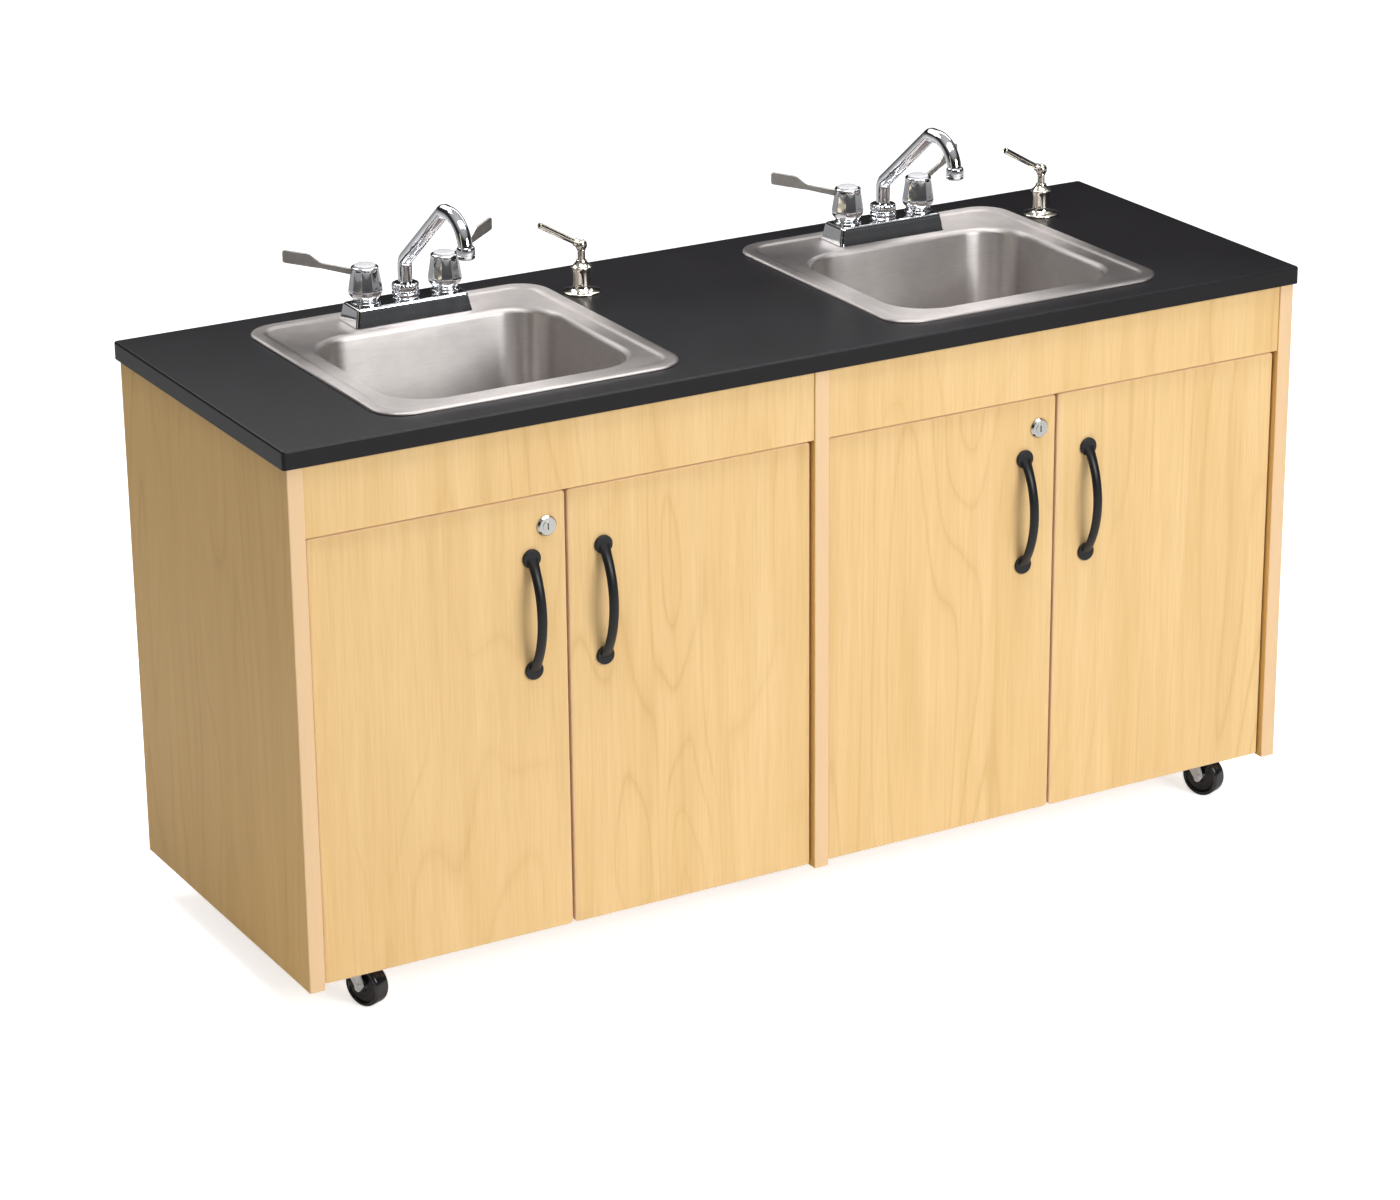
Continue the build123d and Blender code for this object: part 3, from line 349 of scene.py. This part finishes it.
for node, material in PLAIN_NODES.items():
    paint(node, material)
for index, (node, axis) in enumerate(BOARD_FACES.items()):
    # painted shade: the side panels and the divider, which face X, get a darker, more saturated tint
    tint = PAINTED_SHADE_TINT if axis == "X" else NO_TINT
    shift = (0.37 * index + 0.2, 0.71 * index, 0.53 * index)
    paint(node, maple(f"maple {node}", shift, axis, tint=tint))


# ---------------------------------------------------------------- mesh helpers, all in millimetres
MERGE_DISTANCE = 2e-6
LONGEST_ARC_SHARE = 0.49


def piece(name, shape, material, body, at=(0, 0, 0), turn=(0, 0, 0), sharp=32):
    """Link a mesh from (points, faces), put in its place, with creases kept sharp."""
    points, faces = shape
    mesh = bpy.data.meshes.new(name)
    turned = Euler([radians(a) for a in turn]).to_matrix()
    mesh.from_pydata([(turned @ Vector(p) + Vector(at)) * MM for p in points], [], faces)
    work = bmesh.new()
    work.from_mesh(mesh)
    bmesh.ops.remove_doubles(work, verts=work.verts, dist=MERGE_DISTANCE)
    bmesh.ops.recalc_face_normals(work, faces=work.faces)
    for face in work.faces:
        face.smooth = True
    for edge in work.edges:
        if len(edge.link_faces) == 2 and edge.calc_face_angle() > radians(sharp):
            edge.smooth = False
    work.to_mesh(mesh)
    work.free()
    mesh.materials.append(material)
    made = bpy.data.objects.new(name, mesh)
    scene.collection.objects.link(made)
    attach(made, body)
    return made


def bevelled(made, width, segments=3):
    """Round a piece's edges."""
    modifier = made.modifiers.new("rounded edges", "BEVEL")
    modifier.width = width * MM
    modifier.segments = segments
    modifier.limit_method = "ANGLE"
    modifier.angle_limit = radians(30)
    modifier.harden_normals = True
    return made


def lathe(profile, segments=72, flute=None, closed=False):
    """Surface of revolution about Z from (radius, height); flute(angle, height) scales the radius."""
    points, faces, rows = [], [], []
    for radius, height in profile:
        if radius < 1e-6:
            rows.append([len(points)] * segments)
            points.append((0, 0, height))
            continue
        rows.append(list(range(len(points), len(points) + segments)))
        for step in range(segments):
            angle = 2 * pi * step / segments
            size = radius * (flute(angle, height) if flute else 1)
            points.append((size * cos(angle), size * sin(angle), height))
    pairs = list(zip(rows, rows[1:]))
    if closed:
        pairs.append((rows[-1], rows[0]))
    for low, high in pairs:
        for step in range(segments):
            after = (step + 1) % segments
            corners = (low[step], low[after], high[after], high[step])
            face = list(dict.fromkeys(corners))
            if len(face) > 2:
                faces.append(face)
    return points, faces


def arc(centre, radius, start, end, steps=8):
    """(radius, height) points of a round stretch of a profile, by angles in degrees."""
    found = []
    for step in range(steps + 1):
        angle = radians(start + (end - start) * step / steps)
        found.append((centre[0] + radius * cos(angle), centre[1] + radius * sin(angle)))
    return found


def rounded(points, radii, closed=False, steps=10):
    """A flat route of straight runs and tangent arcs through 2-D corners."""
    count = len(points)
    route = [] if closed else [points[0]]
    corners = range(count) if closed else range(1, count - 1)
    for place, index in enumerate(corners):
        before, corner, after = (Vector(points[(index + k) % count]) for k in (-1, 0, 1))
        radius = radii[place] if isinstance(radii, (list, tuple)) else radii
        inward, outward = (before - corner).normalized(), (after - corner).normalized()
        half = inward.angle(outward) / 2
        reach = radius / tan(half)
        if closed:
            shorter = min((before - corner).length, (after - corner).length)
            reach = min(reach, LONGEST_ARC_SHARE * shorter)
        radius = reach * tan(half)
        centre = corner + (inward + outward).normalized() * (radius / sin(half))
        first = corner + inward * reach - centre
        sweep = pi - 2 * half
        if inward.x * outward.y - inward.y * outward.x > 0:
            sweep = -sweep
        start = atan2(first.y, first.x)
        for step in range(steps + 1):
            angle = start + sweep * step / steps
            route.append((centre.x + radius * cos(angle), centre.y + radius * sin(angle)))
    if not closed:
        route.append(points[-1])
    return route


def prism(outline, thick):
    """Plate in the XZ plane from a 2-D outline, centred on Y = 0."""
    count = len(outline)
    points = [(x, -thick / 2, z) for x, z in outline] + [(x, thick / 2, z) for x, z in outline]
    faces = [list(range(count)), list(range(2 * count - 1, count - 1, -1))]
    for step in range(count):
        after = (step + 1) % count
        faces.append([step, after, after + count, step + count])
    return points, faces


def swept(route, size, segments=40):
    """Closed tube in the YZ plane along (y, z) points.

    size(share) gives its half widths, across the plane and in it, at a share of its length.
    """
    lengths = [0]
    for first, second in zip(route, route[1:]):
        lengths.append(lengths[-1] + hypot(second[0] - first[0], second[1] - first[1]))
    points, faces = [], []
    for index, (y, z) in enumerate(route):
        before, after = route[max(index - 1, 0)], route[min(index + 1, len(route) - 1)]
        along = Vector((after[0] - before[0], after[1] - before[1])).normalized()
        across, inplane = size(lengths[index] / lengths[-1])
        for step in range(segments):
            angle = 2 * pi * step / segments
            offset = inplane * sin(angle)
            points.append((across * cos(angle), y + along.y * offset, z - along.x * offset))
    for row in range(len(route) - 1):
        for step in range(segments):
            after = (step + 1) % segments
            base = row * segments
            faces.append([base + step, base + after, base + after + segments, base + step + segments])
    faces.append(list(range(segments)))
    faces.append(list(range((len(route) - 1) * segments, len(route) * segments)))
    return points, faces


def rounded_loop(half_x, half_y, corner, centre_y, z, arc_steps=12, side_steps=10):
    """Ring of points round a rectangle with rounded corners."""
    ring = []
    corner = min(corner, half_x, half_y)
    quarters = ((1, 1, 0), (-1, 1, 90), (-1, -1, 180), (1, -1, 270))
    for index, (sx, sy, start) in enumerate(quarters):
        cx, cy = sx * (half_x - corner), sy * (half_y - corner)
        for step in range(arc_steps + 1):
            angle = radians(start + 90 * step / arc_steps)
            ring.append((cx + corner * cos(angle), centre_y + cy + corner * sin(angle), z))
        nx, ny, next_start = quarters[(index + 1) % 4]
        angle = radians(next_start)
        goal = (nx * (half_x - corner) + corner * cos(angle),
                centre_y + ny * (half_y - corner) + corner * sin(angle))
        last = ring[-1]
        for step in range(1, side_steps):
            share = step / side_steps
            ring.append((last[0] + (goal[0] - last[0]) * share, last[1] + (goal[1] - last[1]) * share, z))
    return ring


def lofted(rings, cap_first=False, cap_last=False):
    """Skin over rings of equal length."""
    count = len(rings[0])
    points = [point for ring in rings for point in ring]
    faces = []
    for row in range(len(rings) - 1):
        for step in range(count):
            after = (step + 1) % count
            base = row * count
            faces.append([base + step, base + after, base + after + count, base + step + count])
    if cap_first:
        faces.append(list(range(count - 1, -1, -1)))
    if cap_last:
        faces.append(list(range((len(rings) - 1) * count, len(rings) * count)))
    return points, faces


def middle(node):
    """Centre of a CAD node's box, in millimetres."""
    low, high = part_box(node)
    return (low + high) / 2 / MM


FINE_EDGES = 0.45
for node, made in frame["nodes"].items():
    if node.startswith(("caster_fork", "lock_")):
        bevelled(made, FINE_EDGES, 2)

COUNTER_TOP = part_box("countertop")[1].z / MM
SIDES = ("left", "right")


# ---------------------------------------------------------------- sinks
RIM_HALF = 190.5
RIM_CORNER = 40
BOWL_HALF = (150, 129)
BOWL_CORNER = 55
BOWL_BACK_SHIFT = -23.5
BOWL_DEPTH = 150
WALL_SLOPE = 3
FLOOR_ROUND = 28
DECK = 1.6
BEAD = 3.5
LIP_ROUND = 6.5
CORNER_SHRINK = 0.8
FLOOR_SQUASH = 0.985
FLOOR_FALL = 0.42
DRAIN_RADIUS = 29
DRAIN_MOUTH = 26.2
SHEET_THICK = 1.0
RIM_PROFILE = ((0.0, 0.1), (0.15, 1.4), (0.9, 2.6), (2.4, 3.3), (4.4, BEAD), (12.5, BEAD),
               (14.6, 3.35), (16.2, 2.8), (17.4, 2.1), (18.8, 1.7), (20.8, DECK), (24.0, DECK))


def bowl_ring(inset, corner, z):
    """Ring round the bowl, this far inside its mouth; the corner is its radius."""
    return rounded_loop(BOWL_HALF[0] - inset, BOWL_HALF[1] - inset, corner, BOWL_BACK_SHIFT, z)


def floor_rings(start_inset, start_corner):
    """Rings that fall across the bowl's floor, from a rounded rectangle to the round drain."""
    rings = []
    start = (BOWL_HALF[0] - start_inset, BOWL_HALF[1] - start_inset)
    steps = 7
    for step in range(1, steps + 1):
        share = step / steps
        half_x = start[0] + (DRAIN_RADIUS - start[0]) * share
        half_y = start[1] + (DRAIN_RADIUS - start[1]) * share
        corner = start_corner + (DRAIN_RADIUS - start_corner) * share
        z = -BOWL_DEPTH + FLOOR_FALL * (1 - share) + 0.02
        rings.append(rounded_loop(half_x, half_y, corner, BOWL_BACK_SHIFT, z))
    rings.append(rounded_loop(DRAIN_MOUTH, DRAIN_MOUTH, DRAIN_MOUTH, BOWL_BACK_SHIFT, -BOWL_DEPTH - 0.4))
    return rings


def sink_shape():
    """Rings from the rim's edge over the bead, across the deck and down the bowl to the drain."""
    rings = []
    for inset, z in RIM_PROFILE:
        half = RIM_HALF - inset
        rings.append(rounded_loop(half, half, RIM_CORNER - inset * CORNER_SHRINK, 0, z))
    lip_low = DECK - LIP_ROUND
    for out, z in [(LIP_ROUND + 0.6, DECK)] + arc((LIP_ROUND, lip_low), LIP_ROUND, 90, 180, 7):
        rings.append(bowl_ring(-out, BOWL_CORNER + out, z))
    slope = tan(radians(WALL_SLOPE))
    wall_low = -BOWL_DEPTH + FLOOR_ROUND
    steps = 8
    for step in range(1, steps + 1):
        z = lip_low + (wall_low - lip_low) * step / steps
        into = -z * slope
        rings.append(bowl_ring(into, BOWL_CORNER - into, z))
    into = -wall_low * slope
    for step in range(1, steps + 1):
        angle = radians(90 * step / steps)
        gone = into + FLOOR_ROUND * (1 - cos(angle))
        z = wall_low - FLOOR_ROUND * sin(angle) * FLOOR_SQUASH
        rings.append(bowl_ring(gone, BOWL_CORNER - gone * CORNER_SHRINK, z))
    gone = into + FLOOR_ROUND
    return lofted(rings + floor_rings(gone, BOWL_CORNER - gone * CORNER_SHRINK))


for side in SIDES:
    place = middle(f"sink_{side}")
    made = piece(f"sink_skin_{side}", sink_shape(), STEEL_BOWL, "cabinet",
                 (place.x, place.y, COUNTER_TOP), sharp=60)
    sheet = made.modifiers.new("sheet", "SOLIDIFY")
    sheet.thickness = SHEET_THICK * MM
    sheet.offset = -1
    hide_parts(f"sink_{side}")


# ---------------------------------------------------------------- faucets
HUB_SPACING = 51
BODY_TOP = 22
SPOUT_RADIUS = 8.5
SPOUT_BEND = 66
SPOUT_PEAK = (107, 149.9)
SPOUT_REACH = 160
OUTLET = 107
BLADE_SWEEP = 27
BLADE_THICK = 3.2
FLUTES = 10
KNURLS = 16
KNURL_DEPTH = 0.055
BODY_HALF = (75, 25)
BODY_CORNER = 4
BODY_TAPER = 11
BODY_ROUND = 3
BODY_CHAMFER = 0.6
THREAD_TURNS = 26
THREAD_PITCH = 1.5
THREAD_RADII = (9.9, 9.2)


def hub_facets(low, high):
    """Flat facets between two heights, fading out at both ends."""
    def scale(angle, height):
        share = min(max((height - low) / (high - low), 0), 1)
        depth = sin(pi * share) ** 0.4 if 0 < share < 1 else 0
        pitch = 2 * pi / FLUTES
        away = (angle + pitch / 2) % pitch - pitch / 2
        flat = cos(pitch / 2) / cos(away) - 0.012
        return 1 - depth * (1 - flat)
    return scale


def hub_shape():
    """Faceted handle hub, widest near its foot, with a recess for the button on top."""
    low = BODY_TOP + 4.4
    profile = [(6.2, low), (13.6, low), (14.6, low + 0.8), (14.9, low + 2.0)]
    profile += [(16.2, low + 3.6), (18.6, low + 6.2), (20.0, low + 8.8), (20.3, low + 11), (20.1, low + 13.5)]
    profile += [(20.1 - 3.8 * t / 10, low + 13.5 + 23.5 * t / 10) for t in range(1, 11)]
    profile += arc((14.1, low + 38.2), 2.1, 10, 90, 5)
    profile += [(13.2, low + 40.3), (12.8, low + 39.8), (0, low + 39.8)]
    return lathe(profile, 200, hub_facets(low + 4, low + 38.5))


def button_shape():
    """Shallow domed disc in the top of a hub."""
    low = BODY_TOP + 44.3
    profile = [(0, low), (12.5, low), (12.5, low + 1.0)]
    profile += arc((11.1, low + 1.0), 1.4, 0, 80, 5) + [(6, low + 2.45), (0, low + 2.6)]
    return lathe(profile, 64)


def blade_outline():
    """Wrist blade seen from the front: a neck that climbs from the hub to a wide paddle."""
    corners = ((9, 55), (50, 65), (60, 66.6), (93.6, 73), (93.6, 88.2), (63, 82.4), (50, 71.5), (9, 62.5))
    radii = (0.5, 12, 12, 3.0, 3.0, 10, 14, 0.5)
    return rounded(corners, radii, closed=True, steps=6)


def nut_shape():
    """Ring with knurled flats above it, both softly chamfered."""
    low = BODY_TOP + 0.1
    ring = [(8.9, low), (14.8, low), (16.0, low + 1.2), (16.3, low + 3.4), (16.1, low + 5.8),
            (14.4, low + 7.4)]
    top = [(13.6, low + 8.0), (15.4, low + 8.8), (16.1, low + 10.0), (16.1, low + 15.4), (15.4, low + 17.0),
           (13.4, low + 17.7), (8.9, low + 17.7)]

    def knurls(angle, height):
        if height < low + 8.6 or height > low + 17.2:
            return 1
        return 1 - KNURL_DEPTH * (0.5 - 0.5 * cos(KNURLS * angle)) ** 2
    return lathe(ring + top, 192, knurls)


def collar_shape():
    """Low ring that a handle turns on."""
    low = BODY_TOP - 0.2
    profile = [(5, low), (16.8, low), (17.0, low + 1.2)] + arc((15.4, low + 1.4), 1.6, 0, 90, 5)
    profile += [(14.2, low + 3.2), (13.4, low + 4.1), (5, low + 4.1)]
    return lathe(profile, 80)


def spout_route():
    """Up from the nut, sloping forward to the peak, and down to the outlet."""
    corners = ((0, 26), (0, SPOUT_BEND), (-SPOUT_PEAK[0], SPOUT_PEAK[1]), (-SPOUT_REACH, SPOUT_PEAK[1]),
               (-SPOUT_REACH, OUTLET + 10))
    return rounded(corners, (14, 12, 38), steps=16)


def aerator_shape():
    """Screwed tip of the spout, with a groove round it."""
    low = OUTLET + 0.05
    profile = [(0, low + 3.0), (7.8, low + 3.0), (8.1, low + 0.5), (8.6, low)]
    profile += [(9.7, low), (10.3, low + 0.7), (10.5, low + 1.9)]
    profile += [(10.5, low + 4.6), (10.0, low + 5.0), (10.0, low + 5.5), (10.5, low + 5.9)]
    profile += [(10.5, low + 11.2)]
    profile += [(10.1, low + 12.6), (9.4, low + 13.6), (8.55, low + 13.9)]
    return lathe(profile, 72)


def faucet_body_shape():
    """Tapered block with softly rounded top edges."""
    def ring(inset, z):
        return rounded_loop(BODY_HALF[0] - inset, BODY_HALF[1] - inset, BODY_CORNER, 0, z)

    taper = tan(radians(BODY_TAPER))
    foot = 0.7
    rings = [ring(BODY_CHAMFER, 0.05), ring(0, foot)]
    straight = BODY_TOP - BODY_ROUND
    steps = 5
    for step in range(1, steps + 1):
        z = foot + (straight - foot) * step / steps
        rings.append(ring(z * taper, z))
    steps = 6
    for step in range(1, steps + 1):
        angle = radians(90 * step / steps)
        inset = straight * taper + BODY_ROUND * (1 - cos(angle))
        rings.append(ring(inset, straight + BODY_ROUND * sin(angle)))
    return lofted(rings, cap_first=True, cap_last=True)


def shank_shape():
    """Threaded shank that holds the faucet down through the deck."""
    crest, root = THREAD_RADII
    profile = [(0, 0.5), (crest, 0.5), (crest, -5)]
    for turn in range(THREAD_TURNS):
        z = -5.5 - THREAD_PITCH * turn
        profile += [(crest, z), (root, z - THREAD_PITCH / 2)]
    profile += [(crest, -45), (root, -46), (0, -46)]
    return lathe(profile, 48)


def faucet(side):
    """All pieces of one faucet, each on the body that it moves with."""
    centre = middle(f"sink_{side}").x
    axis_y = middle("faucet_bodies").y
    origin = (centre, axis_y, COUNTER_TOP + DECK)
    spout_body, slot = f"spout_{side}", "faucet_chrome"
    tube = piece(f"spout_tube_{side}", swept(spout_route(), lambda share: (SPOUT_RADIUS, SPOUT_RADIUS)),
                 CHROME, spout_body, origin)
    tip = piece(f"aerator_{side}", aerator_shape(), CHROME, spout_body,
                (centre, axis_y - SPOUT_REACH, COUNTER_TOP + DECK))
    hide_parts(f"spout_{side}")
    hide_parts(f"spout_{side}")
    block = piece(f"faucet_block_{side}", faucet_body_shape(), CHROME, "cabinet", origin, sharp=50)
    nut = piece(f"spout_nut_{side}", nut_shape(), CHROME, "cabinet", origin, sharp=40)
    for made in (block, nut):
        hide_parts("faucet_bodies")
    for name, sign in (("hot", -1), ("cold", 1)):
        body = f"handle_{name}_{side}"
        at = (centre + sign * HUB_SPACING, axis_y, COUNTER_TOP + DECK)
        hub = piece(f"hub_{name}_{side}", hub_shape(), CHROME, body, at, sharp=40)
        turn = 180 - BLADE_SWEEP if sign < 0 else BLADE_SWEEP
        blade = piece(f"blade_{name}_{side}", prism(blade_outline(), BLADE_THICK), BLADE, body, at,
                      (0, 0, turn))
        bevelled(blade, 0.8)
        button = piece(f"index_{name}_{side}", button_shape(), INDEX, body, at)
        for made in (hub, blade, button):
            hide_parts(f"handle_{name}_{side}")
        collar = piece(f"collar_{name}_{side}", collar_shape(), CHROME, "cabinet", at)
        shank = piece(f"shank_{name}_{side}", shank_shape(), CHROME, "cabinet", at)
        for made in (collar, shank):
            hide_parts("faucet_bodies")


for side in SIDES:
    faucet(side)


# ---------------------------------------------------------------- soap pumps
PUMP_BORE = 4.75
PUMP_FOOT = -58
PUMP_STEM_RADIUS = 4.6
PUMP_HEAD_HEIGHT = 57.5
PUMP_HEAD_RADIUS = 7.2
NOZZLE_LEAN = 60


def pump_base_shape():
    """Flange on the counter, waisted column and neck, with a shank below the counter."""
    profile = [(PUMP_BORE, PUMP_FOOT), (11.4, PUMP_FOOT), (11.4, 0.05), (22.7, 0.05), (23.0, 0.8)]
    profile += arc((21.7, 1.4), 1.3, 0, 70, 4)
    profile += [(18.0, 3.5), (15.0, 4.2), (13.0, 5.2), (12.1, 6.6), (11.5, 9), (11.2, 13), (11.1, 19),
                (11.3, 25), (11.8, 27.6), (12.4, 29.2), (12.5, 30.6)]
    profile += arc((11.4, 31.0), 1.1, 10, 80, 5)
    profile += [(9.9, 33.4), (8.4, 35.2), (7.2, 36.8), (6.4, 38.4), (6.1, 39.5), (5.6, 39.9)]
    profile += [(PUMP_BORE, 39.9), (PUMP_BORE, PUMP_FOOT)]
    return lathe(profile, 80)


def pump_stem_shape():
    """Rod that slides in the column."""
    radius = PUMP_STEM_RADIUS
    return lathe([(0, -24), (radius, -24), (radius, 41), (radius, 50.4), (0, 50.4)], 48)


def pump_head_shape():
    """Ball on a small foot."""
    centre, radius = PUMP_HEAD_HEIGHT, PUMP_HEAD_RADIUS
    profile = [(0, 51.0), (5.0, 51.0), (5.4, 51.5), (5.1, 52.2)]
    profile += arc((0, centre), radius, -45, 84, 14) + [(0, centre + radius)]
    return lathe(profile, 64)


def nozzle_shape():
    """Thin nozzle with a collar at its root and a hollow tip."""
    profile = [(0, 2), (4.9, 4.5), (4.9, 8.6), (3.9, 10.2), (3.4, 12.2), (3.8, 62.6)]
    profile += arc((3.2, 63.2), 0.6, 0, 180, 6) + [(2.6, 56), (0, 56)]
    return lathe(profile, 48)


for side in SIDES:
    axis = middle(f"pump_stem_{side}")
    origin = (axis.x, axis.y, COUNTER_TOP)
    base = piece(f"pump_column_{side}", pump_base_shape(), NICKEL, "cabinet", origin)
    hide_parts("soap_pump_bases")
    stem = piece(f"pump_rod_{side}", pump_stem_shape(), NICKEL, f"pump_stem_{side}", origin)
    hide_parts(f"pump_stem_{side}")
    head = piece(f"pump_ball_{side}", pump_head_shape(), NICKEL, f"pump_head_{side}", origin)
    spray = piece(f"pump_nozzle_{side}", nozzle_shape(), NICKEL, f"pump_head_{side}",
                  (axis.x, axis.y, COUNTER_TOP + PUMP_HEAD_HEIGHT), (0, -NOZZLE_LEAN, 0))
    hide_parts(f"pump_head_{side}")
    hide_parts(f"pump_head_{side}")


# ---------------------------------------------------------------- pulls
PULL_SPAN = 132
PULL_RISE = 22
PULL_DISC = 11
PULL_DISC_THICK = 4
PULL_HALF_STEPS = 24


def pull_bar():
    """Arched bar from disc to disc, wider and flatter at its ends."""
    radius = ((PULL_SPAN / 2) ** 2 + PULL_RISE ** 2) / (2 * PULL_RISE)
    spread = atan2(PULL_SPAN / 2, radius - PULL_RISE)
    route = []
    for step in range(2 * PULL_HALF_STEPS + 1):
        angle = spread * (step / PULL_HALF_STEPS - 1)
        route.append((-2 - (radius * cos(angle) - radius + PULL_RISE), radius * sin(angle)))
    route = [(min(y, -2.2), z) for y, z in route]

    def size(share):
        end = abs(2 * share - 1) ** 6
        return 5.9 + 1.6 * end, 3.9 - 1.5 * end
    return swept(route, size, 36)


def disc_shape(radius, thick):
    """Disc with a softly rounded rim."""
    profile = [(0, 0.02), (radius - 0.2, 0.02), (radius, 0.4), (radius, thick - 1.5)]
    profile += arc((radius - 1.4, thick - 1.4), 1.4, 0, 90, 5) + [(0, thick)]
    return lathe(profile, 64)


for number in "1234":
    node = f"pull_{number}"
    low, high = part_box(node)
    centre = middle(node)
    door_face = high.y / MM
    for name, sign in (("low", -1), ("high", 1)):
        disc = piece(f"pull_disc_{name}_{number}", disc_shape(PULL_DISC, PULL_DISC_THICK), PULL_FACE,
                     f"door_{number}",
                     (centre.x, door_face, centre.z + sign * PULL_SPAN / 2), (90, 0, 0))
        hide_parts(node)
    bar = piece(f"pull_bar_{number}", pull_bar(), ENAMEL, f"door_{number}",
                (centre.x, door_face, centre.z))
    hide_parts(node)


# ---------------------------------------------------------------- casters
CASTER_TURN = -68
WHEEL_HALF_WIDTH = 10.4


def wheel_shape():
    """Moulded wheel: hub, dished web, and a tread with rounded shoulders."""
    half = WHEEL_HALF_WIDTH
    side = [(3.15, half - 0.6), (5.6, half - 0.6), (6.4, half - 1.2), (7.2, half - 2.8), (8.4, half - 3.2),
            (17.4, half - 3.2), (18.8, half - 2.6), (19.8, half - 0.5)]
    side += [(20.6, half), (21.6, half)] + arc((21.4, half - 3.5), 3.5, 80, 6, 7)
    profile = [(r, -z) for r, z in side] + [(r, z) for r, z in reversed(side)]
    return lathe(profile, 96, closed=True)


for name in ("front_left", "front_right", "back_left", "back_right"):
    node = f"caster_wheel_{name}"
    centre = middle(node)
    wheel = piece(f"wheel_tread_{name}", wheel_shape(), TREAD, f"wheel_{name}",
                  tuple(centre), (90, 0, CASTER_TURN))
    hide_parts(node)


# ---------------------------------------------------------------- studio
FLOOR_SIZE = 30
FLOOR_GLOW = 0.70


def studio_material():
    """White paper sweep, with a glow that lights nothing and hides the falloff of the lamps on it."""
    s = Shader("studio floor")
    s.set(Base_Color=(0.93, 0.93, 0.93, 1), Roughness=0.8, Specular_IOR_Level=0.2)
    s.set(Emission_Color=(1, 1, 1, 1))
    path = s.nodes.new("ShaderNodeLightPath")
    s.join(s.math("MULTIPLY", path.outputs["Is Camera Ray"], FLOOR_GLOW), "Emission Strength")
    return s.material


def floor():
    mesh = bpy.data.meshes.new("floor")
    half = FLOOR_SIZE / 2
    corners = [(-half, -half, 0), (half, -half, 0), (half, half, 0), (-half, half, 0)]
    mesh.from_pydata(corners, [], [(0, 1, 2, 3)])
    mesh.materials.append(studio_material())
    made = bpy.data.objects.new("floor", mesh)
    scene.collection.objects.link(made)


def softbox(name, place, target, size, power, colour=(1, 1, 1), seen=True):
    light = bpy.data.lights.new(name, "AREA")
    light.shape = "RECTANGLE"
    light.size, light.size_y = size
    light.energy = power
    light.color = colour
    made = bpy.data.objects.new(name, light)
    made.location = place
    made.rotation_mode = "QUATERNION"
    made.rotation_quaternion = (Vector(target) - Vector(place)).to_track_quat("-Z", "Y")
    made.visible_camera = seen
    scene.collection.objects.link(made)


SKY_GREYS = ((0.0, 0.10), (0.16, 0.02), (0.42, 0.03), (0.62, 0.34), (1, 0.60))


def world():
    """White to the camera; for light and reflections dark round the horizon and brighter above."""
    made = bpy.data.worlds.new("studio")
    made.use_nodes = True
    nodes, links = made.node_tree.nodes, made.node_tree.links
    background = nodes["Background"]
    direction = nodes.new("ShaderNodeTexCoord")
    split = nodes.new("ShaderNodeSeparateXYZ")
    ramp = nodes.new("ShaderNodeValToRGB")
    links.new(direction.outputs["Generated"], split.inputs[0])
    links.new(split.outputs["Z"], ramp.inputs["Fac"])
    elements = ramp.color_ramp.elements
    while len(elements) < len(SKY_GREYS):
        elements.new(0.5)
    for element, (place, grey) in zip(elements, SKY_GREYS):
        element.position = place
        element.color = (grey, grey, grey * 1.01, 1)
    backdrop = nodes.new("ShaderNodeMix")
    backdrop.data_type = "RGBA"
    light_path = nodes.new("ShaderNodeLightPath")
    links.new(light_path.outputs["Is Camera Ray"], backdrop.inputs[0])
    links.new(ramp.outputs["Color"], backdrop.inputs[6])
    backdrop.inputs[7].default_value = (1, 1, 1, 1)
    links.new(backdrop.outputs[2], background.inputs["Color"])
    background.inputs["Strength"].default_value = 1.0
    scene.world = made


CAMERA_PLACE = (-2.352, -4.074, 2.104)
CAMERA_YAW = 29.8
CAMERA_PITCH = 20.8
CAMERA_ROLL = 0.5
CAMERA_LENS = 107.9


def camera():
    data = bpy.data.cameras.new("camera")
    data.lens = CAMERA_LENS
    data.sensor_width = 36
    data.clip_end = 100
    made = bpy.data.objects.new("camera", data)
    made.location = CAMERA_PLACE
    made.rotation_euler = Euler((radians(90 - CAMERA_PITCH), radians(CAMERA_ROLL), -radians(CAMERA_YAW)))
    scene.collection.objects.link(made)
    scene.camera = made


scene.view_settings.view_transform = "Standard"
floor()
world()
softbox("key", (1.35, -4.4, 2.5), (0, 0, 0.4), (2.2, 1.6), 136)
softbox("top", (0.0, -0.5, 2.5), (0, 0, 0.6), (2.4, 0.7), 44)
softbox("left fill", (-3.4, -0.6, 1.4), (0, 0, 0.5), (0.4, 1.6), 2.5, (1, 0.86, 0.62))
softbox("back left", (-0.9, 1.8, 2.8), (0, 0, 0.6), (1.2, 0.8), 20)
softbox("counter sheen", (0.2, 0.75, 1.40), (-0.3, -0.3, 0.69), (2.0, 0.30), 4.0, seen=False)
camera()
